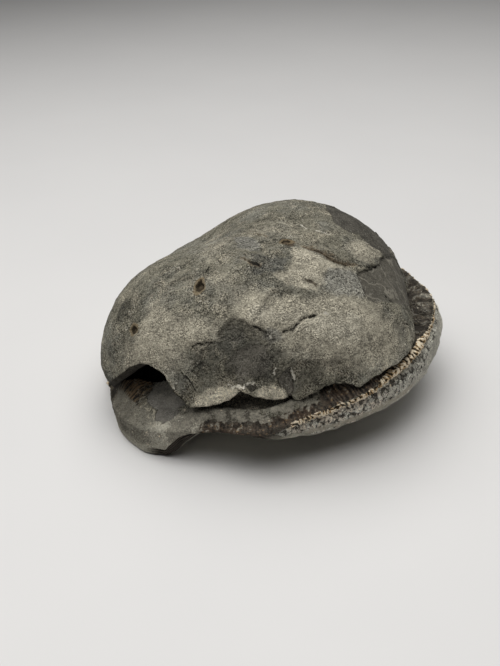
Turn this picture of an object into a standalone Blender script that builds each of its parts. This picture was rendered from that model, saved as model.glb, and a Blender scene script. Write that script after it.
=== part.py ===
"""Fossil ammonite in a split concretion: the shell's lower piece and the stone cap that lies on it.

Lengths are millimetres until the meshes are made, azimuths and elevations are degrees.
Azimuth 0 is +X, the raised side of the tilted coil, and 270 is the front.
"""
import bmesh
import bpy
import numpy as np

for old in list(bpy.data.objects):
    bpy.data.objects.remove(old, do_unlink=True)

MM = 0.001
GAP = 0.6                       # clearance between the cap and the highest ribs under it
PLAN_MIDDLE = (1.3, -0.48)     # middle of the footprint, which becomes the origin

# The coil: its centre in plan, the height and slope of the plane that the keel lies in.
COIL_X = 3.0
COIL_Y = -1.0
COIL_HEIGHT = 14.0
COIL_SLOPE = 0.2
RIBS = 36
RIB_HEIGHT = 0.7
RIB_SWEEP = 7.0                 # how far a rib leans forward on its way to the keel, degrees
RIB_REACH = 16.0                # the lean builds up over this distance from the keel
RIBS_BARE = (188, 205, 276, 292)   # azimuths where the ribs fade out, and come back, round the body chamber

# The concretion: centre, the half sizes from it, and how square its ellipsoid is.
STONE = np.array([-1.0, 0.0, 17.0])
STONE_LEFT = 46.3
STONE_RIGHT = 44.0
STONE_FRONT = 43.0
STONE_BACK = 44.0
STONE_TOP = 32.0
STONE_UNDER = 22.0
STONE_SQUARENESS = 2.3

# Keel radius round the coil. It opens out into the body chamber between 180 and 235.
KEEL = [(4, 45.0), (16, 44.2), (45, 45.8), (90, 47.5), (135, 49.5), (180, 51.0), (198, 50.8), (209, 53.2),
        (217, 54.2), (225, 53.9), (235, 51.0), (242, 48.5), (250, 47.0), (263, 47.6), (271, 45.6),
        (279, 43.9), (290, 43.3), (300, 43.4), (311, 42.6), (321, 43.1), (334, 43.2), (351, 44.0)]
# How far the cord of the keel stands out of the shell. The body chamber's end has lost it.
CORD = [(0, 0.8), (192, 0.8), (200, 0.3), (212, -0.3), (246, -0.3), (258, 0.3), (275, 0.8)]
# Lower edge of the outer wall: radius, and height above the ground. It arches up at 235 to 275.
EDGE_RADIUS = [(8, 48.6), (16, 47.8), (45, 47.6), (90, 48.5), (135, 50.0), (180, 50.0), (205, 52.0),
               (218, 53.8), (226, 53.6), (232, 51.2), (235, 50.3), (238, 48.8), (242, 46.5), (246, 45.0),
               (264, 45.1), (283, 43.6), (295, 43.2), (316, 44.8), (328, 45.2), (340, 46.2), (349, 47.4),
               (358, 48.3)]
EDGE_HEIGHT = [(8, 18.0), (25, 18.0), (45, 14.0), (60, 10.5), (90, 5.5), (120, 2.0), (145, 0.0), (232, 0.0),
               (235, 2.5), (238, 6.0), (242, 9.3), (246, 10.5), (251, 11.3), (264, 9.5), (283, 9.5),
               (295, 10.0), (316, 12.0), (340, 13.0), (349, 15.0), (358, 17.0)]
# The under side: its height just inside the edge, and half way in to the flat that the stone rests on.
BRIM = [(8, 14.8), (25, 14.8), (45, 10.8), (60, 7.3), (90, 2.3), (120, 0.0), (229, 0.0), (235, 2.5),
        (243, 7.8), (251, 9.4), (262, 8.8), (283, 6.4), (295, 6.8), (316, 8.8), (340, 9.8), (349, 11.8),
        (358, 13.8)]
BELLY = [(15, 7.6), (45, 5.4), (80, 1.6), (120, 0.0), (212, 0.0), (236, 2.2), (262, 5.2), (300, 4.0),
         (340, 5.6)]
BRIM_INSET = 5.5
BELLY_INSET = 14.0
FLAT_RADIUS = 20.0
# The outer wall's own ribs, which fade on the body chamber.
WALL_RIB = 0.45
WALL_BARE = (200, 212, 240, 252)
# Upper flank: height over the keel plane against the distance in from the keel.
FLANK = [(0, 0.0), (0.9, 1.2), (2, 1.6), (4, 3.2), (8, 6.0), (14, 8.2), (22, 9.0), (30, 7.6), (50, 5.0)]
FLANK_EASE = [(0, 0.65), (30, 0.6), (60, 0.3), (90, 0.0), (300, 0.0), (320, 0.3), (332, 0.65), (345, 0.7)]
EASE_WINDOW = (0.4, 2.2, 8.0, 18.0)   # the easing starts and ends at these distances in
# The rounded end of the body chamber, the ridge behind the arch's edge, and the trough and the
# trench behind that, which the cap's rim spans. In the cave the chamber's floor drops away further.
LUMP = [(90, 0.0), (180, 0.0), (205, 4.2), (220, 0.6), (235, 0.2), (245, 0.4), (258, 0.0)]
RIDGE = [(0, 0.0), (238, 0.0), (247, 1.6), (262, 1.4), (272, 1.2), (288, 0.0)]
TROUGH = [(0, 0.0), (190, 0.0), (205, 2.5), (225, 5.0), (236, 4.5), (246, 0.0)]
TRENCH = [(0, 0.0), (232, 0.0), (241, 5.0), (262, 6.0), (275, 4.0), (288, 2.0), (298, 0.0)]
CAVE = [(0, 0.0), (192, 0.0), (202, 3.0), (214, 5.0), (223, 3.0), (231, 0.0)]
CAVE_START = 209.0             # azimuth at which its mouth is CAVE_MOUTH in from the keel
CAVE_MOUTH = 5.8
CAVE_SLANT = 1.12              # how much further in the mouth lies for each degree round
CAVE_REACH = (3.5, 16.0)
RIDGE_INSET = 3.2
RIDGE_WIDTH = 1.3
TROUGH_INSET = 13.0
TROUGH_WIDTH = 4.5
# Inner whorls on the upper face: each turn of the coil is this much smaller than the one outside it.
WHORL_RATIO = 0.62
WHORL_GROOVE = 1.6
WHORL_OUTER = 44.0
SEAM_WIDTH = 0.09              # of a turn

# Broad swells and hollows of the concretion: azimuth, elevation, spread, rise.
SWELLS = [(207, -4, 12, 3.3), (180, 22, 20, 0.6), (170, 35, 22, -2.7), (150, 50, 22, -3.0),
          (140, 30, 22, -8.2), (50, 55, 24, 0.9), (350, 15, 16, -1.2), (326, 3, 13, 2.2)]
# Flat flakes struck off it: azimuth, elevation, depth at the middle.
FLAKES = [(95, 26, 1.6), (70, 10, 1.2), (150, 4, 0.9)]
# The broken rim of the cap: azimuth, elevation from the stone's centre.
RIM = [(0, 11.5), (12, 12.5), (21, 10.5), (30, 11.5), (40, 8.0), (48, 9.0), (60, 5.6), (72, 4.6), (78, 1.6),
       (90, 3.5), (101, -2.0), (112, 0.5), (122, -5.0), (135, -4.0), (147, -9.0), (160, -7.0), (172, -10.5),
       (190, -9.0), (203, -8.0), (209, -6.5), (211.7, -3.4), (217.2, 2.0), (220.3, 6.1), (224.3, 9.1),
       (228, 10.1), (232.8, 9.0), (234.8, 8.2), (236.1, 6.1), (238.3, 2.9), (240.4, 0.2), (243.8, -2.3),
       (246.4, -0.8), (254, 1.7), (257.4, 3.8), (261.1, 7.6), (265.9, 5.5), (272.4, 3.9), (278.5, 4.9),
       (280.3, 2.3), (286.8, 6.0), (290.2, 7.5), (294.1, 8.1), (298.1, 7.2), (302.4, 4.9), (308.6, 7.0),
       (315.4, 7.7), (325.5, 8.4), (334.7, 8.1), (343.5, 9.4), (350, 11.0)]
# Headroom under the cap, over the shell: azimuth, height. It is widest over the body chamber.
HEADROOM = [(0, 0.3), (60, 0.1), (150, 0.4), (185, 0.5), (205, 1.0), (212, 3.0), (225, 8.5), (236, 5.5),
            (244, 2.5), (262, 3.5), (280, 0.8), (295, 0.8), (320, 0.2)]
# How far the broken rim may hang below its outer edge, where the cap stands clear of the shell.
BREAK = [(0, 9.0), (190, 9.0), (200, 3.0), (206, 2.0), (221, 1.8), (227, 0.8), (236, 0.8), (246, 9.0)]
MIDDLE_ROOM = 2.4               # the same over the middle of the coil

# Scars on the front of the cap, in millimetres right and up from the middle of its front face,
# which looks up at 33 degrees: depth, then the outline.
FACE_TILT = 33.0
FACE_SCALE = 46.0
SCARS = {
    "middle": (1.3, [(-21.8, -11.8), (-18.9, -8.7), (-14.3, -6.7), (-13.4, -3.1), (-10.4, 0), (-4.9, -1.1),
                     (-0.6, -4.2), (3.9, -5.6), (0.5, -8.3), (4.7, -9.1), (3.6, -12.7), (1.4, -17.1),
                     (-4.8, -17.4), (-10.8, -17.7), (-19.3, -14.9)]),
    "right": (0.9, [(6.6, -12.8), (13.6, -12), (17.1, -10.9), (21.3, -11.9), (23.3, -14.6), (16.7, -19.5),
                    (8.9, -25), (7.6, -18.6)]),
    "wedge": (1.2, [(3.3, -17.7), (6.3, -12.8), (7.2, -15.3), (7.8, -22.5), (5.7, -20.9)]),
    "upper": (0.7, [(-2.9, 0.9), (-1.5, 3.9), (0.3, 6.2), (4.7, 9.2), (10.3, 8.9), (7, 6.8), (2.7, 4.5)]),
    "shoulder": (0.6, [(62, 33), (52.1, 28.2), (48.2, 23.9), (38.2, 18.9), (33.5, 17.8), (32, 15.4),
                       (32.3, 8.2), (34.9, 5.4), (40.2, 6), (53, 5.8), (61, 6.3), (69, 3.5), (84, 10),
                       (86, 30), (75, 38)]),
    "crown": (0.4, [(40.8, 73), (38.3, 59.1), (36.7, 52.4), (39.5, 45.6), (46.8, 43.4), (51.6, 35.4),
                    (61.3, 29.7), (84.9, 40.8), (90, 70), (60, 95), (44, 85)]),
    "rim": (0.8, [(-27.5, -13), (-25.4, -15.2), (-21.3, -20.7), (-23.4, -25.8), (-28.3, -19.9)]),
}
SCAR_EDGE = (-0.6, 1.6)         # a scar reaches its depth between these distances inside its outline
# Small round pits: right, up, radius, depth.
PITS = [(-22.0, 10.6, 2.0, 1.2), (9.3, 33.1, 2.2, 0.8), (-42.4, -3.3, 1.8, 0.7)]

SHELL_COLUMNS = 144
SHELL_UPPER_ROWS = (0.14, 0.28, 0.4, 0.52, 0.63, 0.74, 0.84, 0.9, 0.945)
CAP_BACK_STEP = 6.0
CAP_FRONT_STEP = 2.5
CAP_FRONT = (195.0, 345.0)
CAP_OUTER_ROWS = (0.0, 0.035, 0.08, 0.13, 0.18, 0.235, 0.29, 0.35, 0.41, 0.475, 0.54, 0.61, 0.68, 0.76,
                  0.84, 0.92)
SHARP_ANGLE = 35.0
CAP_UNDER_INSETS = (1.2, 2.8, 4.8, 7.5, 11.0, 16.0, 23.0, 31.0)


def around(knots, azimuth):
    """A smooth closed curve through (azimuth, value) knots that never overshoots them."""
    table = np.array(sorted(knots), float)
    x = np.concatenate([table[-2:, 0] - 360, table[:, 0], table[:2, 0] + 360])
    y = np.concatenate([table[-2:, 1], table[:, 1], table[:2, 1]])
    width = np.diff(x)
    grade = np.diff(y) / width
    before, after = grade[:-1], grade[1:]
    total = np.where(before + after == 0, 1, before + after)
    slope = np.where(before * after > 0, 2 * before * after / total, 0)
    slope = np.concatenate([grade[:1], slope, grade[-1:]])
    turn = np.mod(azimuth, 360.0)
    i = np.clip(np.searchsorted(x, turn, side="right") - 1, 0, len(x) - 2)
    t = (turn - x[i]) / width[i]
    rise = (2 * t**3 - 3 * t**2 + 1) * y[i] + (3 * t**2 - 2 * t**3) * y[i + 1]
    return rise + width[i] * ((t**3 - 2 * t**2 + t) * slope[i] + (t**3 - t**2) * slope[i + 1])


def smooth(low, high, value):
    t = np.clip((value - low) / (high - low), 0, 1)
    return t * t * (3 - 2 * t)


def hump(value, middle, width):
    return np.exp(-0.5 * ((value - middle) / width) ** 2)


def direction(azimuth, elevation):
    a = np.radians(azimuth)
    e = np.radians(elevation)
    return np.stack([np.cos(e) * np.cos(a), np.cos(e) * np.sin(a), np.sin(e) + 0 * a], -1)


def in_outline(x, y, outline):
    """Signed distance to a closed outline, positive inside it."""
    corners = np.array(outline, float)
    nearest = np.full(np.shape(x), 1e9)
    inside = np.zeros(np.shape(x), bool)
    for (x0, y0), (x1, y1) in zip(corners, np.roll(corners, -1, axis=0)):
        t = ((x - x0) * (x1 - x0) + (y - y0) * (y1 - y0)) / ((x1 - x0) ** 2 + (y1 - y0) ** 2)
        t = np.clip(t, 0, 1)
        nearest = np.minimum(nearest, np.hypot(x - x0 - t * (x1 - x0), y - y0 - t * (y1 - y0)))
        level = np.where(y1 == y0, 1e-9, y1 - y0)
        inside ^= ((y0 > y) != (y1 > y)) & (x < (x1 - x0) * (y - y0) / level + x0)
    return np.where(inside, nearest, -nearest)


def face_map(ray):
    """Where a direction from the stone's centre meets the map of its front face."""
    tilt = np.radians(FACE_TILT)
    out = ray @ np.array([0, -np.cos(tilt), np.sin(tilt)])
    scale = 2 * FACE_SCALE / np.maximum(1 + out, 0.2)
    return scale * ray[..., 0], scale * (ray @ np.array([0, np.sin(tilt), np.cos(tilt)]))


def stone_body(ray):
    """Distance from the stone's centre to its surface before any flake was struck off."""
    half_x = np.where(ray[..., 0] < 0, STONE_LEFT, STONE_RIGHT)
    half_y = np.where(ray[..., 1] < 0, STONE_FRONT, STONE_BACK)
    half_z = np.where(ray[..., 2] < 0, STONE_UNDER, STONE_TOP)
    total = 0.0
    for axis, half in enumerate((half_x, half_y, half_z)):
        total = total + (np.abs(ray[..., axis]) / half) ** STONE_SQUARENESS
    reach = total ** (-1 / STONE_SQUARENESS)
    for azimuth, elevation, spread, rise in SWELLS:
        angle = np.degrees(np.arccos(np.clip(ray @ direction(azimuth, elevation), -1, 1)))
        reach = reach + rise * hump(angle, 0, spread)
    return reach


def stone_reach(ray):
    """The same with its flakes, scars and pits."""
    reach = stone_body(ray)
    for azimuth, elevation, depth in FLAKES:
        axis = direction(azimuth, elevation)
        level = stone_body(axis) - depth
        facing = ray @ axis
        reach = np.where(facing > 0.3, np.minimum(reach, level / np.maximum(facing, 0.3)), reach)
    right, up = face_map(ray)
    for depth, outline in SCARS.values():
        reach = reach - depth * smooth(*SCAR_EDGE, in_outline(right, up, outline))
    for x, y, radius, depth in PITS:
        reach = reach - depth * smooth(radius, 0.3 * radius, np.hypot(right - x, up - y))
    return reach


def rim_elevation(azimuth):
    table = np.array(RIM + [(360 + RIM[0][0], RIM[0][1])])
    return np.interp(azimuth, table[:, 0], table[:, 1])


def coil_polar(x, y):
    return np.hypot(x - COIL_X, y - COIL_Y), np.degrees(np.arctan2(y - COIL_Y, x - COIL_X)) % 360


def plane_height(radius, azimuth):
    return COIL_HEIGHT + COIL_SLOPE * (COIL_X + radius * np.cos(np.radians(azimuth)))


def flank_height(radius, azimuth):
    """The shell's upper face without its ribs, grooves and trough."""
    inward = np.clip(around(KEEL, azimuth) - radius, 0, None)
    table = np.array(FLANK, float)
    rise = np.interp(inward, table[:, 0], table[:, 1])
    start, full, end, gone = EASE_WINDOW
    ease = around(FLANK_EASE, azimuth) * smooth(start, full, inward) * smooth(gone, end, inward)
    rise = rise * (1 - ease)
    return plane_height(radius, azimuth) + rise + around(LUMP, azimuth) * smooth(0.5, 4, inward)


def rib(radius, azimuth, inward):
    """Ribs lean forward towards the keel and fade on the body chamber."""
    sweep = RIB_SWEEP * smooth(RIB_REACH, 0, inward) ** 2
    wave = 0.5 + 0.5 * np.cos(np.radians((azimuth - sweep) * RIBS))
    fade, bare, still_bare, back = RIBS_BARE
    keep = 1 - smooth(fade, bare, azimuth) * smooth(back, still_bare, azimuth)
    return RIB_HEIGHT * wave * smooth(0.8, 3, inward) * smooth(10, 22, radius) * keep


def upper_face(radius, azimuth):
    inward = np.clip(around(KEEL, azimuth) - radius, 0, None)
    height = flank_height(radius, azimuth) + rib(radius, azimuth, inward)
    height = height + around(RIDGE, azimuth) * hump(inward, RIDGE_INSET, RIDGE_WIDTH)
    height = height - around(TROUGH, azimuth) * hump(inward, TROUGH_INSET, TROUGH_WIDTH)
    height = height - around(TRENCH, azimuth) * smooth(4.4, 7.0, inward) * smooth(19, 14, inward)
    mouth = np.clip(CAVE_MOUTH + CAVE_SLANT * (azimuth - CAVE_START), *CAVE_REACH)
    depth = around(CAVE, azimuth) * smooth(23, 17, inward)
    height = height - depth * smooth(mouth - 0.5, mouth + 2.5, inward)
    turns = np.log(np.maximum(radius, 1) / WHORL_OUTER) / np.log(WHORL_RATIO) + azimuth / 360.0
    seam = np.abs(turns - np.round(turns))
    return height - WHORL_GROOVE * hump(seam, 0, SEAM_WIDTH) * smooth(34, 26, radius)


def wall_profile(azimuth):
    """Rings of the outer wall and the under side: radius and height, from the keel down and in."""
    keel = around(KEEL, azimuth)
    top = plane_height(keel, azimuth)
    edge = around(EDGE_RADIUS, azimuth)
    low = around(EDGE_HEIGHT, azimuth)
    wall = top - low
    fade, bare, still_bare, back = WALL_BARE
    keep = 1 - smooth(fade, bare, azimuth) * smooth(back, still_bare, azimuth)
    ribs = WALL_RIB * (0.5 + 0.5 * np.cos(np.radians(azimuth * RIBS))) * smooth(0, 3, wall) * keep
    lip = 0.5 + 0.6 * smooth(0, 1.5, low)
    return [
        (keel + around(CORD, azimuth), top),
        (keel - 0.5, top - np.minimum(1.5, 0.3 * wall)),
        (0.35 * keel + 0.65 * edge + ribs - 0.2, low + 0.62 * wall),
        (0.15 * keel + 0.85 * edge + ribs, low + 0.3 * wall),
        (edge, low + lip),
        (edge - 1.8, 0.88 * low),
        (edge - BRIM_INSET, around(BRIM, azimuth)),
        (edge - BELLY_INSET, around(BELLY, azimuth)),
        (0.5 * (edge - BELLY_INSET + FLAT_RADIUS), 0.3 * around(BELLY, azimuth)),
        (FLAT_RADIUS + 0 * edge, 0 * edge),
    ]


def shell_grid():
    """Rings of the lower piece, from the middle of its upper face out, down and under."""
    azimuth = np.arange(SHELL_COLUMNS) * 360.0 / SHELL_COLUMNS
    keel = around(KEEL, azimuth)
    rings = []
    for fraction in SHELL_UPPER_ROWS:
        radius = keel * fraction
        rings.append((radius, upper_face(radius, azimuth)))
    shoulder = keel - 0.8
    rings.append((shoulder, plane_height(shoulder, azimuth) + 1.1))
    rings.extend((radius, np.maximum(height, 0)) for radius, height in wall_profile(azimuth))
    turn = np.radians(azimuth)
    rings = [np.stack([COIL_X + r * np.cos(turn), COIL_Y + r * np.sin(turn), z], -1) for r, z in rings]
    first = np.array([COIL_X, COIL_Y, float(upper_face(0.0, 0.0))])
    last = np.array([COIL_X, COIL_Y, 0.0])
    return first, rings, last


def cap_azimuths():
    start, end = CAP_FRONT
    front = np.arange(start, end, CAP_FRONT_STEP)
    back = np.arange(end, start + 360.0, CAP_BACK_STEP) % 360
    return np.sort(np.concatenate([front, back]))


def cap_grid():
    """Rings of the cap, from its crown down to the broken rim and back under."""
    azimuth = cap_azimuths()
    rim = rim_elevation(azimuth)
    rings = []
    for share in reversed(CAP_OUTER_ROWS):
        ray = direction(azimuth, rim + (90 - rim) * share)
        rings.append(STONE + stone_reach(ray)[..., None] * ray)
    edge = rings[-1]
    inward = -direction(azimuth, 0 * azimuth)
    for inset in CAP_UNDER_INSETS:
        ring = edge + inward * inset
        radius, turn = coil_polar(ring[:, 0], ring[:, 1])
        lift = around(HEADROOM, turn) * smooth(12, 36, radius) + MIDDLE_ROOM * smooth(28, 12, radius)
        ceiling = flank_height(radius, turn) + RIB_HEIGHT + GAP + lift
        ring[:, 2] = np.maximum(ceiling, edge[:, 2] - around(BREAK, azimuth))
        rings.append(ring)
    first = STONE + stone_reach(direction(0.0, 90.0)) * direction(0.0, 90.0)
    radius, turn = coil_polar(STONE[0], STONE[1])
    crown = float(flank_height(radius, turn)) + RIB_HEIGHT + GAP + MIDDLE_ROOM
    last = np.array([STONE[0], STONE[1], crown])
    return first, rings, last


def solid(name, grid, material):
    """One closed body from a pole, rings of equal count and a second pole."""
    first, rings, last = grid
    shift = np.array([PLAN_MIDDLE[0], PLAN_MIDDLE[1], 0.0])
    mesh = bmesh.new()
    top = mesh.verts.new((first - shift) * MM)
    loops = [[mesh.verts.new((point - shift) * MM) for point in ring] for ring in rings]
    bottom = mesh.verts.new((last - shift) * MM)
    count = len(loops[0])
    for i in range(count):
        j = (i + 1) % count
        mesh.faces.new((top, loops[0][i], loops[0][j]))
        for upper, lower in zip(loops, loops[1:]):
            mesh.faces.new((upper[i], lower[i], lower[j], upper[j]))
        mesh.faces.new((bottom, loops[-1][j], loops[-1][i]))
    bmesh.ops.triangulate(mesh, faces=mesh.faces[:])
    bmesh.ops.recalc_face_normals(mesh, faces=mesh.faces[:])
    data = bpy.data.meshes.new(name)
    mesh.to_mesh(data)
    mesh.free()
    data.shade_smooth()
    data.set_sharp_from_angle(angle=np.radians(SHARP_ANGLE))
    data.materials.append(material)
    obj = bpy.data.objects.new(name, data)
    bpy.context.collection.objects.link(obj)
    return obj


def stone_material(name, colour, roughness):
    material = bpy.data.materials.new(name)
    material.use_nodes = True
    shader = material.node_tree.nodes["Principled BSDF"]
    shader.inputs["Base Color"].default_value = (*colour, 1)
    shader.inputs["Roughness"].default_value = roughness
    shader.inputs["Metallic"].default_value = 0
    return material


solid("ammonite", shell_grid(), stone_material("fossil_shell", (0.105, 0.09, 0.072), 0.6))
solid("nodule_cap", cap_grid(), stone_material("grey_concretion", (0.16, 0.155, 0.14), 0.85))
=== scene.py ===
"""A fossil ammonite in a split concretion: the shell's lower piece, and the stone cap that lies on it."""

import bpy
import numpy as np
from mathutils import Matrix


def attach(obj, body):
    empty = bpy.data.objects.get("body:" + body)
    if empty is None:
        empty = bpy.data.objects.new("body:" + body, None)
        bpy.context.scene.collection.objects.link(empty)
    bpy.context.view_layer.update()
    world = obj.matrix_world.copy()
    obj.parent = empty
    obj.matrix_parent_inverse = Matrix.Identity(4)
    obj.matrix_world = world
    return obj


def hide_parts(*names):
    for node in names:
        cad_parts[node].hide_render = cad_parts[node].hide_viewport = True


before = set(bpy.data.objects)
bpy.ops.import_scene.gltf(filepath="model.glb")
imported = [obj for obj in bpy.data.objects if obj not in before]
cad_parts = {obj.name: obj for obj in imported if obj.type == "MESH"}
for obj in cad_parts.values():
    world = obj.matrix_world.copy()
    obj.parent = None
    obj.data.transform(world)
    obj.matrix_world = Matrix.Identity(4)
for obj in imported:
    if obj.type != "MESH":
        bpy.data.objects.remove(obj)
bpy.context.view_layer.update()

# ------------------------------------------------------------
# The table top is one wide, matt, pale board. The light is one broad soft window overhead, a little
# to the left and turned to the front of the board, and dim pale walls all round fill the shadows.
# ------------------------------------------------------------
BOARD_HALF = 4.0
BOARD_DROP = 0.00004           # the board lies this far below the stone's foot
WINDOW_PLACE = (-0.08, -0.01, 0.60)
WINDOW_AIM = (0.03, -0.22, 0.0)
WINDOW_SIDE = 0.90
WINDOW_SPREAD = 116.0          # degrees; a narrow spread keeps its light off the far end of the board
WINDOW_WATTS = 3.8
ROOM_LIGHT = 0.06
CAMERA_PLACE = (-0.00664, -0.23277, 0.16428)
CAMERA_TILT = 33.0             # degrees below the horizon
CAMERA_LENS = 66.96


def stand(name, data):
    thing = bpy.data.objects.new(name, data)
    bpy.context.collection.objects.link(thing)
    return thing


board = bpy.data.meshes.new("table_top")
corners = ((-1, -1), (1, -1), (1, 1), (-1, 1))
board.from_pydata([(x * BOARD_HALF, y * BOARD_HALF, -BOARD_DROP) for x, y in corners], [], [(0, 1, 2, 3)])
table_top = stand("table_top", board)

lamp = bpy.data.lights.new("window_light", "AREA")
lamp.shape = "SQUARE"
lamp.size = WINDOW_SIDE
lamp.spread = float(np.radians(WINDOW_SPREAD))
lamp.energy = WINDOW_WATTS
lamp.color = (1.0, 0.99, 0.97)
window = stand("window_light", lamp)
window.location = WINDOW_PLACE
look = np.array(WINDOW_AIM) - np.array(WINDOW_PLACE)
window.rotation_euler = (float(np.arctan2(np.hypot(look[0], look[1]), -look[2])), 0.0,
                         float(np.arctan2(look[0], -look[1]) + np.pi))

world = bpy.data.worlds.new("pale_room")
bpy.context.scene.world = world
world.use_nodes = True
room = world.node_tree.nodes["Background"]
room.inputs["Color"].default_value = (1.0, 0.99, 0.975, 1)
room.inputs["Strength"].default_value = ROOM_LIGHT
bpy.context.scene.view_settings.view_transform = "Standard"

camera = bpy.data.cameras.new("camera")
camera.lens = CAMERA_LENS
camera.sensor_width = 36.0
camera.sensor_fit = "HORIZONTAL"
camera.clip_start = 0.01
viewer = stand("camera", camera)
viewer.location = CAMERA_PLACE
viewer.rotation_euler = (np.radians(90 - CAMERA_TILT), 0, 0)
bpy.context.scene.camera = viewer

# ------------------------------------------------------------
# The lower piece is the ammonite itself with the stone below it: a coil of ribbed brown shell
# whose keel stands out as a golden cord, and whose body chamber, at the front left, has lost its
# shell and shows as a smooth cast. All of it grew and set as one stone, so it is one piece.
# ------------------------------------------------------------
# Lengths are millimetres and angles degrees until the meshes are made. Azimuth 270 is the front.
MM = 0.001
PLAN_MIDDLE = (1.3, -0.48)     # middle of the footprint, which becomes the origin
# The coil: its centre in plan, the height and slope of the plane that the keel lies in.
COIL_X = 3.0
COIL_Y = -1.0
COIL_HEIGHT = 14.0
COIL_SLOPE = 0.2
RIBS = 36
RIB_HEIGHT = 0.7
RIB_SWEEP = 7.0                # how far a rib leans forward on its way to the keel, degrees
RIB_REACH = 16.0
# Keel radius, and how far its cord stands out.
KEEL = [
    (4, 45), (16, 44.2), (45, 45.8), (90, 47.5), (135, 49.5), (180, 51), (198, 50.8), (209, 53.2),
    (217, 54.2), (225, 53.9), (235, 51), (242, 48.5), (250, 47), (263, 47.6), (271, 45.6), (279, 43.9),
    (290, 43.3), (300, 43.4), (311, 42.6), (321, 43.1), (334, 43.2), (351, 44)]
CORD = [(0, 0.8), (192, 0.8), (200, 0.3), (212, -0.3), (246, -0.3), (258, 0.3), (275, 0.8)]
# Lower edge of the outer wall: radius and height. Then the under side, just inside it and half way in.
EDGE_RADIUS = [
    (8, 48.6), (16, 47.8), (45, 47.6), (90, 48.5), (135, 50), (180, 50), (205, 52), (218, 53.8), (226, 53.6),
    (232, 51.2), (235, 50.3), (238, 48.8), (242, 46.5), (246, 45), (264, 45.1), (283, 43.6), (295, 43.2),
    (316, 44.8), (328, 45.2), (340, 46.2), (349, 47.4), (358, 48.3)]
EDGE_HEIGHT = [
    (8, 18), (25, 18), (45, 14), (60, 10.5), (90, 5.5), (120, 2), (145, 0), (232, 0), (235, 2.5), (238, 6),
    (242, 9.3), (246, 10.5), (251, 11.3), (264, 9.5), (283, 9.5), (295, 10), (316, 12), (340, 13), (349, 15),
    (358, 17)]
BRIM = [
    (8, 14.8), (25, 14.8), (45, 10.8), (60, 7.3), (90, 2.3), (120, 0), (229, 0), (235, 2.5), (243, 7.8),
    (251, 9.4), (262, 8.8), (283, 6.4), (295, 6.8), (316, 8.8), (340, 9.8), (349, 11.8), (358, 13.8)]
BELLY = [(15, 7.6), (45, 5.4), (80, 1.6), (120, 0), (212, 0), (236, 2.2), (262, 5.2), (300, 4), (340, 5.6)]
BRIM_INSET = 5.5
BELLY_INSET = 14.0
FLAT_RADIUS = 20.0             # the worn flat that the piece stands on
# Upper flank: height over the keel plane against the distance in from the keel, and where it is eased.
FLANK = [(0, 0), (0.9, 1.2), (2, 1.6), (4, 3.2), (8, 6), (14, 8.2), (22, 9), (30, 7.6), (50, 5)]
FLANK_EASE = [(0, 0.65), (30, 0.6), (60, 0.3), (90, 0), (300, 0), (320, 0.3), (332, 0.65), (345, 0.7)]
EASE_REACH = (0.4, 2.2, 8.0, 18.0)
# The body chamber's rounded end, the ridge behind the arch, and the hollows that the cap's rim spans.
LUMP = [(90, 0), (180, 0), (205, 4.2), (220, 0.6), (235, 0.2), (245, 0.4), (258, 0)]
RIDGE = [(0, 0), (238, 0), (247, 1.6), (262, 1.4), (272, 1.2), (288, 0)]
TROUGH = [(0, 0), (190, 0), (205, 2.5), (225, 5), (236, 4.5), (246, 0)]
CAVE = [(0, 0), (192, 0), (202, 3), (214, 5), (223, 3), (231, 0)]
TRENCH = [(0, 0), (237, 0), (245, 2.6), (262, 3), (275, 2.4), (288, 1.4), (298, 0)]
RIDGE_INSET = 3.2
RIDGE_WIDTH = 1.3
TROUGH_INSET = 13.0
TROUGH_WIDTH = 4.5
TRENCH_REACH = (4.4, 7.0, 14.0, 19.0)
# The cave's mouth: how far in from the keel it lies at an azimuth, how much more to a degree, its limits.
MOUTH_AZIMUTH = 209
MOUTH_INSET = 5.8
MOUTH_SLANT = 1.12
MOUTH_LIMITS = (3.5, 16)
WHORL_RATIO = 0.62             # each turn of the coil is this much smaller than the one outside it
WHORL_GROOVE = 1.6
WHORL_OUTER = 44.0
SEAM_WIDTH = 0.09              # of a turn

LINES = 252                    # growth lines round the coil, seven to a rib
LINE_HEIGHT = 0.22
CHAMBER_LINES = 360            # the finer ones on the body chamber's cast
RIBLETS = 50                   # coarse folds of the shell where it is freshest, at the right
RIBLET_HEIGHT = 0.42
TEETH = 205                    # serrations of the corded keel
TOOTH_HEIGHT = 0.42
PEBBLE = 1.1                   # spacing of the knobbly layer under the cord
PEBBLE_HEIGHT = 0.36
CORD_BLOCK = 1.25              # spacing of the calcite blocks that the cord has broken into
CORD_START = 2.4               # how far in from the keel the cord and the outer wall begin
# The mesh's columns round the front and the back, and its rows over the middle, the flank and the wall.
FRONT_COLUMNS = 590
BACK_COLUMNS = 250
FLANK_REACH = 16.0
MIDDLE_ROWS = (0.08, 0.2, 0.32, 0.45, 0.58, 0.7, 0.82, 0.92)
FLANK_ROWS = 38
WALL_ROWS = (3, 3, 4, 3, 3, 4, 10, 8, 7, 4, 6, 7, 4, 3)
# Dark smooth facets where chips have left the cast, upper and lower: azimuth, radius from the coil's centre.
CHAMBER_FACETS = [
    [(209.8, 38.3), (215.2, 42.7), (218.2, 46.4), (220.8, 47.8), (226.2, 48.1), (229.4, 46.7), (232.1, 45.9),
        (233.4, 43), (234.2, 40), (233, 37), (211, 35)],
    [(227, 49.4), (226.4, 47.4), (229.6, 46.1), (232.2, 45.2), (233.9, 45.4), (233.2, 48.3), (231.3, 49.7),
        (229, 50.4), (227.8, 50.1)],
]
FACET_STRETCH = 0.8            # millimetres to a degree, where the facets are
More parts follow.
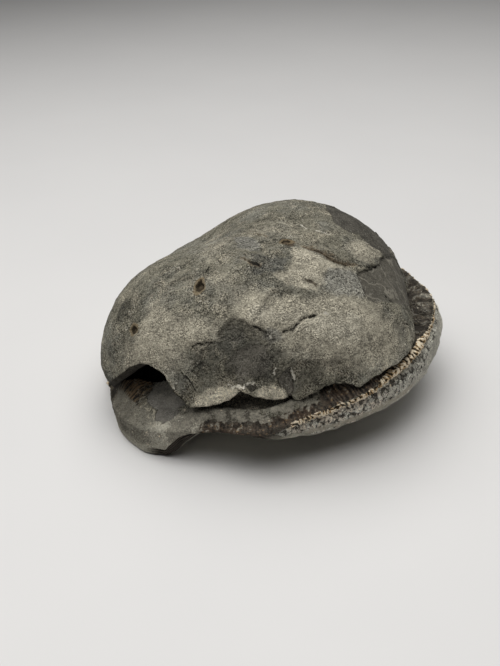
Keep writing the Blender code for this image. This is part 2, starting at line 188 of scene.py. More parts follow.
# Stretches round the coil: the azimuths where each starts, is full, begins to fade and is gone.
ZONES = {
    "corded": (268, 277, 192, 204), "thick cord": (292, 304, 340, 352), "broad cord": (304, 314, 332, 343),
    "knobbly": (262, 276, 60, 90), "deep knobs": (276, 284, 330, 345), "pale_foot": (272, 282, 318, 332),
    "shell": (278, 290, 70, 100), "coarse": (316, 328, 40, 60), "right_wall_painted_light": (300, 322, 30, 60),
    "chamber": (180, 196, 222, 232), "chamber side": (190, 200, 226, 238), "cave": (194, 202, 224, 232),
    "bare chamber": (200, 212, 236, 246), "bare cast": (222, 232, 240, 250), "saddle": (226, 232, 243, 249),
    "left_streaks": (188, 198, 215, 223), "ochre": (205, 209, 216, 222), "crumbs": (207, 212, 226, 232),
    "smooth_cast": (203, 210, 240, 246), "chamber_painted_light": (196, 204, 234, 240), "arch": (226, 231, 262, 274),
    "ridge": (230, 238, 276, 290), "high ridge": (230, 238, 256, 268), "hollow": (240, 246, 280, 292),
    "front": (240, 246, 282, 292), "broken": (240, 248, 282, 294), "front lines": (240, 248, 280, 290),
    "front_hollow": (238, 244, 286, 294), "pinkish": (268, 278, 300, 316),
    "bare ribs": (188, 205, 276, 292), "painted light rim": (228, 240, 335, 348), "undercut_painted_shade": (192, 200, 216, 222),
}


def steady_slopes(x, y):
    """Slopes at a curve's knots, down the first axis, with which it never overshoots them."""
    grade = np.diff(y, axis=0) / np.diff(x, axis=0)
    before, after = grade[:-1], grade[1:]
    total = np.where(before + after == 0, 1, before + after)
    slope = np.where(before * after > 0, 2 * before * after / total, 0)
    return np.concatenate([grade[:1], slope, grade[-1:]])


def on_curve(t, width, starts, ends):
    """The curve a share t of the way between two knots, each given as its value and its slope."""
    rise = (2 * t**3 - 3 * t**2 + 1) * starts[0] + (3 * t**2 - 2 * t**3) * ends[0]
    return rise + width * ((t**3 - 2 * t**2 + t) * starts[1] + (t**3 - t**2) * ends[1])


def around(knots, azimuth):
    """A smooth closed curve through (azimuth, value) knots that never overshoots them."""
    table = np.array(sorted(knots), float)
    x = np.concatenate([table[-2:, 0] - 360, table[:, 0], table[:2, 0] + 360])
    y = np.concatenate([table[-2:, 1], table[:, 1], table[:2, 1]])
    slope = steady_slopes(x, y)
    turn = np.mod(azimuth, 360.0)
    i = np.clip(np.searchsorted(x, turn, side="right") - 1, 0, len(x) - 2)
    width = x[i + 1] - x[i]
    return on_curve((turn - x[i]) / width, width, (y[i], slope[i]), (y[i + 1], slope[i + 1]))


def glide(x, y, steps):
    """Such curves through y at x, down the first axis, with that many samples between each two knots."""
    slope = steady_slopes(x, y)
    rows = [on_curve(t, x[i + 1] - x[i], (y[i], slope[i]), (y[i + 1], slope[i + 1]))
            for i, count in enumerate(steps) for t in np.arange(count) / count]
    return np.array(rows + [y[-1]])


def smooth(low, high, value):
    t = np.clip((value - low) / (high - low), 0, 1)
    return t * t * (3 - 2 * t)


def hump(value, middle, width):
    return np.exp(-0.5 * ((value - middle) / width) ** 2)


def window(value, start, full, end, gone):
    """1 between `full` and `end`, falling softly to 0 at `start` and `gone`."""
    return smooth(start, full, value) * smooth(gone, end, value)


def zone(name, azimuth):
    """1 along a named stretch round the coil, with soft ends; it may run past 360."""
    start = ZONES[name][0]
    return window((azimuth - start) % 360, *((bound - start) % 360 for bound in ZONES[name]))


def scatter(cell, seed):
    """A fixed random whole number for each whole-numbered place."""
    mixed = np.full(cell.shape[:-1], seed * 374761393, np.int64)
    for axis, prime in enumerate((73856093, 19349663, 83492791)):
        mixed = mixed ^ (cell[..., axis] * prime)
    for shift, prime in ((15, 2246822519), (13, 3266489917)):
        mixed = mixed & 0xFFFFFFFF
        mixed = (mixed ^ (mixed >> shift)) * prime
    mixed = mixed & 0xFFFFFFFF
    return mixed ^ (mixed >> 16)


def ripple(points, size, seed):
    """Smooth random relief, about -1 to 1, whose swells are `size` millimetres apart."""
    place = points / size
    cell = np.floor(place).astype(np.int64)
    part = place - cell
    ease = part**3 * (part * (6 * part - 15) + 10)
    total = np.zeros(points.shape[:-1])
    for corner in np.ndindex(2, 2, 2):
        mixed = scatter(cell + np.array(corner), seed)
        weight = np.ones(points.shape[:-1])
        push = np.zeros(points.shape[:-1])
        for axis in range(3):
            weight = weight * (ease[..., axis] if corner[axis] else 1 - ease[..., axis])
            lean = ((mixed >> (10 * axis + 1)) & 1023) / 511.5 - 1
            push = push + lean * (part[..., axis] - corner[axis])
        total += weight * push
    return 1.7 * total


def rough(points, size, seed, layers=3):
    """Relief in several sizes, each half as wide and half as high as the one before."""
    total = 0.0
    for layer in range(layers):
        total = total + ripple(points, size / 2**layer, seed + layer) / 2**layer
    return total


def pebbles(points, size, seed):
    """Distances to the nearest and second nearest of scattered points, in units of their spacing, and the
    nearest one's random tone."""
    place = points / size
    cell = np.floor(place).astype(np.int64)
    first = np.full(points.shape[:-1], 9.0)
    second = first.copy()
    luck = 0 * first
    for step in np.ndindex(3, 3, 3):
        spot = cell + np.array(step) - 1
        mixed = scatter(spot, seed)
        jitter = np.stack([((mixed >> shift) & 255) / 255.0 for shift in (3, 11, 19)], -1)
        gap = np.linalg.norm(place - spot - 0.15 - 0.7 * jitter, axis=-1)
        second = np.minimum(second, np.maximum(first, gap))
        luck = np.where(gap < first, ((mixed >> 5) & 255) / 255.0, luck)
        first = np.minimum(first, gap)
    return first, second, luck


def to_segment(x, y, start, end):
    """How far along a straight line each point lies, from 0 to 1, and its distance from it."""
    (x0, y0), (x1, y1) = start, end
    t = np.clip(((x - x0) * (x1 - x0) + (y - y0) * (y1 - y0)) / np.hypot(x1 - x0, y1 - y0) ** 2, 0, 1)
    return t, np.hypot(x - x0 - t * (x1 - x0), y - y0 - t * (y1 - y0))


def in_outline(x, y, outline):
    """Signed distance to a closed outline, positive inside it."""
    corners = np.array(outline, float)
    nearest = np.full(np.shape(x), 1e9)
    inside = np.zeros(np.shape(x), bool)
    for (x0, y0), (x1, y1) in zip(corners, np.roll(corners, -1, axis=0)):
        nearest = np.minimum(nearest, to_segment(x, y, (x0, y0), (x1, y1))[1])
        level = np.where(y1 == y0, 1e-9, y1 - y0)
        inside ^= ((y0 > y) != (y1 > y)) & (x < (x1 - x0) * (y - y0) / level + x0)
    return np.where(inside, nearest, -nearest)


def coil_polar(x, y):
    return np.hypot(x - COIL_X, y - COIL_Y), np.degrees(np.arctan2(y - COIL_Y, x - COIL_X)) % 360


def coil_point(radius, azimuth, height):
    turn = np.radians(azimuth)
    return np.stack([COIL_X + radius * np.cos(turn), COIL_Y + radius * np.sin(turn), height + 0 * radius], -1)


def plane_height(radius, azimuth):
    return COIL_HEIGHT + COIL_SLOPE * (COIL_X + radius * np.cos(np.radians(azimuth)))


def flank_height(radius, azimuth):
    """The shell's upper face without its ribs, grooves and trough."""
    inward = np.clip(around(KEEL, azimuth) - radius, 0, None)
    rise = np.interp(inward, *np.array(FLANK, float).T)
    rise *= 1 - around(FLANK_EASE, azimuth) * window(inward, *EASE_REACH)
    return plane_height(radius, azimuth) + rise + around(LUMP, azimuth) * smooth(0.5, 4, inward)


def rib_phase(azimuth, inward):
    return azimuth - RIB_SWEEP * smooth(RIB_REACH, 0, inward) ** 2


def cave_mouth(azimuth):
    """How far inward the body chamber's cast runs before it drops away under the cap."""
    return np.clip(MOUTH_INSET + MOUTH_SLANT * (azimuth - MOUTH_AZIMUTH), *MOUTH_LIMITS)


def growth_line(azimuth, inward, wander):
    """-1 to 1 across each growth line, with flat tops and narrow furrows."""
    shell = np.cos(np.radians(rib_phase(azimuth, inward) * LINES + 420 * wander))
    cast = np.cos(np.radians(azimuth * CHAMBER_LINES + 330 * wander))
    chamber = zone("chamber", azimuth)
    return shell * (1 - chamber) + cast * chamber


def coarse_fold(azimuth, inward, wander):
    """-1 to 1 across each coarse fold, fading out where the shell has none."""
    fold = np.cos(np.radians(rib_phase(azimuth, inward) * RIBLETS + 400 * wander))
    return fold * zone("coarse", azimuth)


def upper_face(radius, azimuth):
    """The whole upper face: ribs, growth lines, the ridge and trench at the front, the seams."""
    inward = np.clip(around(KEEL, azimuth) - radius, 0, None)
    wave = 0.5 + 0.5 * np.cos(np.radians(rib_phase(azimuth, inward) * RIBS))
    keep = 1 - zone("bare ribs", azimuth)
    height = flank_height(radius, azimuth)
    height += RIB_HEIGHT * wave * smooth(0.8, 3, inward) * smooth(10, 22, radius) * keep
    height += around(RIDGE, azimuth) * hump(inward, RIDGE_INSET, RIDGE_WIDTH)
    height -= around(TROUGH, azimuth) * hump(inward, TROUGH_INSET, TROUGH_WIDTH)
    height -= around(TRENCH, azimuth) * window(inward, *TRENCH_REACH)
    mouth = cave_mouth(azimuth)
    height -= around(CAVE, azimuth) * smooth(mouth - 0.5, mouth + 2.5, inward) * smooth(23, 17, inward)
    turns = np.log(np.maximum(radius, 1) / WHORL_OUTER) / np.log(WHORL_RATIO) + azimuth / 360.0
    seam = np.abs(turns - np.round(turns))
    height -= WHORL_GROOVE * hump(seam, 0, SEAM_WIDTH) * smooth(34, 26, radius)
    place = coil_point(radius, azimuth, height)
    wander = ripple(place, 4.0, 11)
    cast = zone("bare cast", azimuth)
    strength = LINE_HEIGHT * (0.6 + 0.8 * ripple(place, 3.0, 12)) * smooth(0.6, 1.6, inward)
    strength *= smooth(14, 24, radius) * (1 - cast) * (1 - 0.8 * zone("coarse", azimuth))
    height += strength * (1 - 0.85 * zone("broken", azimuth)) * growth_line(azimuth, inward, wander)
    height += RIBLET_HEIGHT * coarse_fold(azimuth, inward, wander) * smooth(0.6, 2, inward)
    return height + 0.13 * rough(place, 2.0, 13) * (1 - 0.4 * cast)


def solid_piece(name, first, rings, last, marks):
    """One closed body from a pole, rings of equal count and a second pole, with its marks per point."""
    rows, count = rings.shape[:2]
    points = np.concatenate([first[None], rings.reshape(-1, 3), last[None]])
    points = (points - np.array([*PLAN_MIDDLE, 0.0])) * MM
    here = 1 + np.arange(rows * count).reshape(rows, count)
    beside = np.roll(here, -1, axis=1)
    quads = np.stack([here[:-1], here[1:], beside[1:], beside[:-1]], -1).reshape(-1, 4).tolist()
    top = [(0, int(a), int(b)) for a, b in zip(here[0], beside[0])]
    end = len(points) - 1
    bottom = [(end, int(b), int(a)) for a, b in zip(here[-1], beside[-1])]
    mesh = bpy.data.meshes.new(name)
    mesh.from_pydata(points.tolist(), [], quads + top + bottom)
    mesh.shade_smooth()
    for mark, values in marks.items():
        layer = mesh.attributes.new(mark, "FLOAT", "POINT")
        spread = np.concatenate([values[0].mean()[None], values.reshape(-1), values[-1].mean()[None]])
        layer.data.foreach_set("value", spread.astype(np.float32))
    return stand(name, mesh)


def shell_grid():
    """Rings of the lower piece, from the middle of its upper face out, over the keel, down and under."""
    azimuth = np.concatenate([np.linspace(180, 360, FRONT_COLUMNS, endpoint=False),
                              np.linspace(0, 180, BACK_COLUMNS, endpoint=False)])
    keel = around(KEEL, azimuth)
    top = plane_height(keel, azimuth)
    edge = around(EDGE_RADIUS, azimuth)
    low = around(EDGE_HEIGHT, azimuth)
    wall = top - low
    upper = [(keel - FLANK_REACH) * share for share in MIDDLE_ROWS]
    upper += [keel - inward for inward in np.linspace(FLANK_REACH, CORD_START, FLANK_ROWS, endpoint=False)]
    upper = np.array(upper)

    cord = around(CORD, azimuth)
    below = np.minimum(1.5, 0.3 * wall)
    belly = around(BELLY, azimuth)
    knots = [
        (keel - CORD_START, upper_face(keel - CORD_START, azimuth)),
        (keel - 1.6, upper_face(keel - 1.6, azimuth)),
        (keel - 0.8, plane_height(keel - 0.8, azimuth) + 1.1),
        (keel + 0.72 * cord, top + 0.5),
        (keel + cord, top - 0.07 * below),
        (keel + 0.6 * cord, top - 0.53 * below),
        (keel - 0.5, top - below),
        (0.35 * keel + 0.65 * edge - 0.2, low + 0.62 * wall),
        (0.15 * keel + 0.85 * edge, low + 0.3 * wall),
        (edge, low + 0.5 + 0.6 * smooth(0, 1.5, low)),
        (edge - 1.8, 0.88 * low),
        (edge - BRIM_INSET, around(BRIM, azimuth)),
        (edge - BELLY_INSET, belly),
        (0.5 * (edge - BELLY_INSET + FLAT_RADIUS), 0.3 * belly),
        (FLAT_RADIUS + 0 * edge, 0 * edge),
    ]
    crest_knot, edge_knot = 4, 9
    out, up = np.array(knots).transpose(1, 0, 2)
    stride = np.hypot(np.diff(out, axis=0), np.diff(up, axis=0)) + 1e-6
    path = np.concatenate([0 * out[:1], np.cumsum(stride, axis=0)])
    radius = np.concatenate([upper, glide(path, out, WALL_ROWS)])
    height = np.concatenate([upper_face(upper, azimuth + 0 * upper), glide(path, up, WALL_ROWS)])
    across = np.concatenate([upper - (keel - CORD_START), glide(path, path, WALL_ROWS)]) - path[crest_knot]
    beyond_edge = across - (path[edge_knot] - path[crest_knot])
    return np.broadcast_to(azimuth, radius.shape), radius, height, across, beyond_edge, len(upper)


def dice(*numbers, seed):
    """A fixed random tone from 0 to 1 for each three whole numbers."""
    return (scatter(np.stack(numbers, -1), seed) & 255) / 255.0


azimuth, radius, height, across, beyond_edge, upper_rows = shell_grid()
place = coil_point(radius, azimuth, height)
side_out = -np.gradient(height, axis=0)
side_up = np.gradient(radius, axis=0)
size = np.hypot(side_out, side_up) + 1e-9

wander = ripple(place, 2.6, 21)
bend = ripple(place, 4.0, 11)
shaken = np.stack([wander] * 3, -1)
corded = zone("corded", azimuth)
phase = azimuth * TEETH + 110 * np.abs(across) + 320 * wander
tooth_number = np.round(phase / 360).astype(np.int64)
tooth_luck = dice(tooth_number, tooth_number, tooth_number, seed=5)
tooth = smooth(0.05, 0.8, 0.5 + 0.5 * np.cos(np.radians(phase)))
knobs, next_knobs, knob_luck = pebbles(place + 0.5 * shaken, PEBBLE, 22)
knob_depth = 3.6 + 3.0 * zone("deep knobs", azimuth)
knobbly = smooth(0.4, 1.1, across) * smooth(knob_depth + 2.4, knob_depth, across + 1.4 * wander)
knobbly *= zone("knobbly", azimuth)
blocks, next_blocks, block_luck = pebbles(place + 0.6 * shaken, CORD_BLOCK, 24)
block_gap = next_blocks - blocks
matrix = smooth(-0.5, 1.5, beyond_edge)
ground = smooth(0.0, 2.0, height)
cast_phase = azimuth * CHAMBER_LINES + 330 * bend
cast_line = np.cos(np.radians(cast_phase))
cast_number = np.round(cast_phase / 360 + 0.5).astype(np.int64)
front_line = np.cos(np.radians(azimuth * LINES + 900 * bend + 25 * across))

relief = TOOTH_HEIGHT * (tooth * (0.4 + 0.8 * tooth_luck) - 0.4) * hump(across, -0.2, 1.1) * corded
relief += 0.3 * ripple(place, 1.0, 30) * hump(across, 0.6, 1.8) * corded
relief += PEBBLE_HEIGHT * (0.62 - knobs) * knobbly
relief += 0.5 * (block_luck * smooth(0.0, 0.35, block_gap) - 0.45) * hump(across, -0.3, 1.3) * corded
relief += 0.16 * rough(place, 2.2, 23) * smooth(-2.6, -1.4, across)
relief += 0.32 * rough(place, 9.0, 26) * smooth(0.8, 4.0, across) * ground
relief += 0.30 * rough(place, 4.0, 29) * matrix * ground
side_lines = zone("chamber side", azimuth) * smooth(-2.4, -1.0, across)
relief += 0.16 * cast_line * side_lines * smooth(0.5, -3.5, beyond_edge + 2 * wander)
front_lines = zone("front lines", azimuth) * window(across, -2.4, -1.4, 2.5, 4.5)
relief += 0.05 * front_line * front_lines
relief[:upper_rows] = 0
radius = radius + relief * side_out / size
height = np.maximum(height + relief * side_up / size, 0)

inward = np.clip(around(KEEL, azimuth) - radius, 0, None)
facets = [in_outline(azimuth * FACET_STRETCH, radius, [(FACET_STRETCH * a, r) for a, r in outline])
          for outline in CHAMBER_FACETS]
facet = np.where(across < 2.0, np.maximum(*facets), -5.0)
on_face = smooth(-0.9, -1.5, across)
front = zone("front", azimuth)
shell_cover = np.maximum(zone("shell", azimuth) * on_face,
                         front * smooth(2.6, 1.6, inward) * smooth(2.8, 1.8, across + wander))
inner_shell = on_face * smooth(6.5, 9.0, inward) * (1 - zone("bare chamber", azimuth))
mouth = cave_mouth(azimuth)
cave = zone("cave", azimuth) * smooth(mouth - 0.3, mouth + 1.0, inward)
hollow = np.maximum(zone("hollow", azimuth) * smooth(5.0, 7.4, inward), cave)
pale_ridge = 0.55 * zone("ridge", azimuth) + 0.45 * zone("high ridge", azimuth)
pale_ridge *= hump(inward, 3.0, 1.0) * on_face
thick = zone("thick cord", azimuth)
broad = zone("broad cord", azimuth)
gilt = smooth(-1.6 - 1.4 * broad, -0.6 - 1.2 * broad, across) * smooth(2.4 + 0.8 * thick, 0.6, across)
wall_line = np.where(front > 0.5, 0.2 * front_line, cast_line)
marks = {
    "tooth": tooth, "tooth_luck": tooth_luck, "knobbly": knobbly, "knob_luck": knob_luck,
    "block_gap": block_gap, "block_luck": block_luck, "facet": facet,
    "coarse": zone("coarse", azimuth), "fold": coarse_fold(azimuth, inward, bend),
    "knob_gap": next_knobs - knobs,
    "line_luck": dice(cast_number, 0 * cast_number, cast_number, seed=8),
    "line": np.where(across < -0.9, growth_line(azimuth, inward, bend) * (1 - 0.6 * front), wall_line),
    "shell_cover": np.maximum(shell_cover, inner_shell),
    "gilt": gilt * corded * (0.66 + 0.3 * thick + 0.12 * broad),
    "hollow": hollow * on_face,
    "pale_ridge": np.maximum(pale_ridge, 1.1 * hump(azimuth, 237.5, 3.2) * hump(across, -1.5, 4.2)),
    "lower_facet": smooth(-0.6, 0.0, facets[1]),
    "across": np.clip(across, -20, 20), "beyond_edge": np.clip(beyond_edge, -20, 20),
}
faded = {
    "arch": 1, "front_hollow": 1, "right_wall_painted_light": 1, "pinkish": 1, "left_streaks": 1,
    "pale_foot": hump(beyond_edge, -0.6, 0.5),
    "chamber_painted_light": smooth(4.5, 11.0, inward),
    "smooth_cast": smooth(-7.0, -4.0, across) * smooth(10.0, 6.0, beyond_edge),
    "saddle": smooth(-8.0, -5.0, across),
    "crumbs": hump(facet, -0.9, 0.9),
    "ochre": smooth(2.0, 5.0, inward),
}
marks.update({name: zone(name, azimuth) * part for name, part in faded.items()})
middle = np.array([COIL_X, COIL_Y, float(upper_face(np.zeros(1), np.zeros(1))[0])])
foot = np.array([COIL_X, COIL_Y, 0.0])
ammonite = solid_piece("ammonite_stone", middle, coil_point(radius, azimuth, height), foot, marks)


class Tone:
    """A value on its way through a finish. Ordinary arithmetic on it adds the finish's Math nodes."""

    def __init__(self, finish, socket):
        self.finish = finish
        self.socket = socket

    def reckon(self, operation, first, second=0.0):
        return self.finish.node("Math", {"operation": operation}, {0: first, 1: second})

    def __add__(self, other):
        return self.reckon("ADD", self, other)

    def __sub__(self, other):
        return self.reckon("SUBTRACT", self, other)

    def __rsub__(self, other):
        return self.reckon("SUBTRACT", other, self)

    def __mul__(self, other):
        return self.reckon("MULTIPLY", self, other)

    __radd__ = __add__
    __rmul__ = __mul__

    def __abs__(self):
        return self.reckon("ABSOLUTE", self)

    def most(self, other):
        return self.reckon("MAXIMUM", self, other)

    def least(self, other):
        return self.reckon("MINIMUM", self, other)


class Finish:
    """A material being made up: its nodes, and the place on the piece in millimetres."""

    def __init__(self, name):
        self.material = bpy.data.materials.new(name)
        self.material.use_nodes = True
        self.tree = self.material.node_tree
        self.shader = self.tree.nodes["Principled BSDF"]
        self.place = self.node("VectorMath", {"operation": "SCALE"},
                               {0: self.node("TexCoord", output="Object"), "Scale": 1 / MM})

    def node(self, kind, settings=None, inputs=None, output=0):
        """One node of any kind: its settings first, then the values or links of its sockets."""
        node = self.tree.nodes.new("ShaderNode" + kind)
        for name, value in (settings or {}).items():
            setattr(node, name, value)
        for name, value in (inputs or {}).items():
            if isinstance(value, Tone):
                self.tree.links.new(value.socket, node.inputs[name])
            else:
                node.inputs[name].default_value = value
        return Tone(self, node.outputs[output])

    def mark(self, name):
        return self.node("Attribute", {"attribute_name": name}, output="Fac")

    def noise(self, size, detail=2.0, roughness=0.5, place=None, swirl=0.0):
        """Random tone from 0 to 1 whose patches are `size` millimetres across."""
        return self.node("TexNoise", {}, {"Vector": place or self.place, "Scale": 1 / size, "Detail": detail,
                                          "Roughness": roughness, "Distortion": swirl})

    def stir(self, value, *noises):
        """A value, or the mark of that name, shaken by noises that each follow their strength."""
        value = self.mark(value) if isinstance(value, str) else value
        for strength, noise in noises:
            value = value + strength * (noise - 0.5)
        return value

    def step(self, low, high, value, *noises):
        """A soft mask, 0 where the stirred value is low and 1 where it is high."""
        return self.node("MapRange", {"interpolation_type": "SMOOTHSTEP"},
                         {"Value": self.stir(value, *noises), "From Min": low, "From Max": high})

    def blend(self, mask, under, over):
        under, over = (tint if isinstance(tint, Tone) else (*tint, 1) for tint in (under, over))
        return self.node("Mix", {"data_type": "RGBA", "clamp_factor": True}, {0: mask, 6: under, 7: over}, 2)

    def coats(self, colour, *layers):
        """A colour under more coats, each a mask and its own colour."""
        for mask, over in layers:
            colour = self.blend(mask, colour, over)
        return colour

    def shade(self, colour, amount):
        return self.node("VectorMath", {"operation": "SCALE"}, {0: colour, "Scale": amount})

    def apply(self, piece, **worked_out):
        """Links the worked-out sockets, of them Normal from a relief in millimetres, and dresses a piece."""
        for socket, value in worked_out.items():
            if socket == "Normal":
                value = self.node("Bump", {}, {"Height": value, "Distance": MM, "Strength": 1.0})
            self.tree.links.new(value.socket, self.shader.inputs[socket.replace("_", " ")])
        piece.data.materials.append(self.material)


OLIVE_GREY = (0.152, 0.143, 0.111)
BLUE_GREY = (0.150, 0.146, 0.122)
WARM_GREY = (0.215, 0.195, 0.150)
SKIN_GLOSS = 0.16


def stone_skin(f):
    """Weathered mudstone: olive grey that drifts to blue and warm grey, mottled down to its grain."""
    f.shader.inputs["Specular IOR Level"].default_value = SKIN_GLOSS
    bedding = f.node("Mapping", {"vector_type": "TEXTURE"},
                     {"Vector": f.place, "Rotation": (0.0, -0.52, 0.39), "Scale": (2.6, 1.0, 1.0)})
    mottle = f.noise(9.0, 5.0, 0.97)
    flow = f.noise(5.0, 4.0, 0.9, bedding, 0.8)
    calm = f.noise(4.0, 3.0, 0.6)
    grain = f.noise(0.36, 1.0, 0.8)
    pepper = f.noise(0.95, 2.0, 0.7, swirl=0.7)
    fleck = f.noise(0.55, 1.5, swirl=0.5)
    drift = f.step(0.42, 0.66, f.noise(11.0, 3.0, 0.6))
    warmth = f.step(0.48, 0.64, f.noise(8.0, 5.0, 0.75))
    light = f.stir(1.0 + 2.7 * (mottle - 0.5), (2.4, flow), (1.9, pepper))
    light = f.stir(light, (2.7 + 3.6 * f.step(0.42, 0.6, calm), grain)).most(0.2)
    colour = f.shade(f.coats(OLIVE_GREY, (drift, BLUE_GREY), (0.8 * warmth, WARM_GREY)), light)
    colour = f.coats(colour, (0.8 * f.step(0.67, 0.74, fleck, (0.4, calm)), (0.50, 0.47, 0.40)),
                     (0.8 * f.step(0.33, 0.26, fleck, (0.5, flow)), (0.022, 0.020, 0.016)))
    return colour, 0.6 * mottle + 0.5 * flow + 0.26 * grain + 0.2 * pepper + 0.12 * fleck, light


f = Finish("fossil_shell")
colour, skin_relief, light = stone_skin(f)
line = f.mark("line")
across = f.mark("across")
streak = f.noise(1.3, 4.0, 0.75)
tone = f.noise(2.6, 3.0, 0.6)
crumb = f.noise(0.8, 2.0, 0.6)
# The body chamber's cast: dark and ochre streaks between its growth lines.
streaks = f.mark("left_streaks") * f.step(9.0, 1.0, across, (6.0, tone))
luck = f.stir("line_luck", (1.6, streak))
stripes = f.coats(
    (0.030, 0.025, 0.020),
    (f.step(0.3, 0.9, luck), (0.125, 0.108, 0.080)),
    (f.mark("ochre") * f.step(0.40, 0.75, luck, (1.6, tone)), (0.175, 0.118, 0.066)),
    (0.85 * f.step(0.0, -0.8, line, (2.4, streak)), (0.013, 0.011, 0.009)))
# The cast's smooth skin, palest on the saddle between its two facets and the arch. It is paler 3 to 7 mm down
# the wall below the crest, which is painted light for the light that this downward-turning wall misses.
plain = f.coats((0.195, 0.184, 0.150), (f.mark("saddle"), (0.50, 0.475, 0.395)),
                (f.step(3.0, 7.0, across), (0.37, 0.352, 0.292)))
colour = f.coats(colour, (0.9 * streaks, stripes), (
    0.75 * f.step(0.3, 0.7, "smooth_cast", (0.8, tone)), f.shade(plain, 0.40 + 0.4 * light + 0.4 * tone)))
# Deep in the body chamber, under the cap's overhang, the colour is lifted: painted light that makes up for
# the shade there.
colour = f.shade(colour, 1.0 + 1.3 * f.mark("chamber_painted_light"))
crumbs = 0.85 * f.step(0.3, 0.6, "crumbs", (0.6, tone)) * f.step(0.52, 0.60, crumb)
# The wall below the keel is rubbed smoother. Its colour is also lifted, most at the right, as painted light
# for the light that this downward-facing wall misses.
rubbed_and_painted_light = f.step(3.0, 6.0, across, (3.0, tone))
wall = f.blend(f.mark("right_wall_painted_light"), (0.44, 0.42, 0.345), (0.66, 0.64, 0.56))
# Brown shell with paler growth lines, and coarse pale blocks where the folds stand up.
ragged = 0.6 * line + 5.0 * (streak - 0.5)
brown = f.coats(
    (0.017, 0.014, 0.011),
    (f.step(-0.8, 0.9, ragged), (0.12, 0.097, 0.074)),
    (0.6 * f.step(0.48, 0.62, tone), (0.085, 0.054, 0.035)),
    (0.7 * f.step(0.44, 0.34, tone), f.shade((0.10, 0.092, 0.074), light)),
    (0.75 * f.step(0.60, 0.68, crumb, (0.25, tone)) * f.step(-0.3, 0.4, ragged), (0.30, 0.20, 0.10)),
    (0.75 * f.mark("coarse"), f.shade((0.080, 0.070, 0.054), light)),
    (0.75 * f.step(-0.1, -0.8, "fold", (1.6, streak)), (0.018, 0.015, 0.012)),
    (0.75 * f.step(0.4, 1.0, "fold", (2.0, streak), (2.4, tone)), f.shade((0.150, 0.143, 0.120), light)))
cover = f.step(0.35, 0.55, "shell_cover", (0.7, tone), (0.5, streak))
blotch = f.step(0.47, 0.38, tone, (0.6, streak))
ridge = f.step(0.3, 0.5, "pale_ridge", (1.8, tone), (1.4, streak))
# The knobbly layer under the cord, grey and partly pinkish, with dark seams.
knob_luck = f.stir("knob_luck", (1.2, crumb))
knob = f.coats(
    (0.54, 0.525, 0.455),
    (f.mark("pinkish") * f.step(0.38, 0.55, tone), (0.64, 0.57, 0.47)),
    (0.9 * f.step(0.30, 0.12, knob_luck), (0.060, 0.055, 0.047)),
    (0.7 * f.step(0.86, 1.0, knob_luck), (0.80, 0.78, 0.70)),
    (0.85 * f.step(3.0, 1.4, across) * f.step(0.52, 0.70, knob_luck), (0.68, 0.56, 0.38)),
    (0.8 * f.step(0.16, 0.02, "knob_gap", (0.5, crumb)), (0.025, 0.021, 0.017)))
# The golden cord: pale calcite in teeth and blocks, dark between them.
chevron = 0.95 * f.mark("tooth") + 1.5 * (crumb - 0.5) + 0.5 * (f.mark("tooth_luck") - 0.5) - 0.12
chevron = chevron + 0.6 * f.mark("block_luck") - 0.5 * f.step(0.25, 0.02, "block_gap", (0.5, crumb)) - 0.1
gold = f.coats(
    (0.036, 0.026, 0.015),
    (f.step(0.05, 0.35, chevron), (0.50, 0.35, 0.19)),
    (f.step(0.45, 0.75, chevron, (1.8, tone), (0.8, streak)), (0.86, 0.75, 0.57)))
# Fresh facets on the cast, paler than their stone and palest deepest in, which is painted light under the
# cap's overhang; the hollows, and the layered broken edge of shell along the arch.
facet = f.step(-0.05, 0.3, "facet", (1.4, streak), (1.0, tone))
bared_with_painted_light = f.blend(f.mark("lower_facet"), (0.185, 0.176, 0.156), (0.150, 0.142, 0.125))
bared_with_painted_light = f.shade(bared_with_painted_light, (0.2 + 0.3 * light + 0.9 * tone) * (1.0 + 1.6 * f.step(-6.5, -13.0, across)))
front_hollow = f.mark("front_hollow")
# In the hollows the colour is near-black, painted shade for the cave under the cap. In the front trench it is
# a pale brown lifted as painted light, so its texture shows in the shade.
hollow_painted_shade_and_light = f.blend(front_hollow, (0.012, 0.009, 0.007), f.shade((0.36, 0.33, 0.27), light * (2.2 * tone)))
layer = f.stir("beyond_edge", (0.5, streak))
stripe = f.node("Math", {"operation": "SINE"}, {0: 9.0 * layer})
layers = f.blend(f.step(-0.2, 0.7, stripe), (0.012, 0.010, 0.008), (0.075, 0.062, 0.05))
colour = f.coats(
    colour,
    (crumbs, (0.38, 0.35, 0.275)),
    (0.7 * rubbed_and_painted_light, f.shade(wall, 0.4 + 0.5 * tone + 0.35 * light)),
    (cover, f.shade(brown, 0.6 + 0.8 * crumb)),
    (0.9 * ridge, f.shade((0.235, 0.220, 0.180), 0.4 * light + 1.3 * tone - 0.05)),
    (0.7 * ridge * blotch * front_hollow, (0.050, 0.044, 0.036)),
    (f.step(0.3, 0.6, "knobbly", (0.8, tone)), f.shade(knob, 0.4 + 0.6 * light)),
    (0.8 * f.step(0.3, 0.7, "pale_foot", (1.6, streak)), (0.40, 0.365, 0.295)),
    (f.step(0.42, 0.58, "gilt", (1.6, streak), (1.2, tone)), gold),
    (0.94 * facet, bared_with_painted_light),
    (0.95 * f.step(0.3, 0.8, "hollow", (1.2, streak)), hollow_painted_shade_and_light),
    (f.step(-2.2, -1.8, layer) * f.step(2.6, 2.0, layer) * f.mark("arch"), layers))
f.apply(ammonite, Base_Color=colour, Roughness=0.88 - 0.25 * cover - 0.18 * facet + 0.06 * light,
        Normal=skin_relief * (1 - 0.6 * facet))
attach(ammonite, "root")
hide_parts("ammonite")

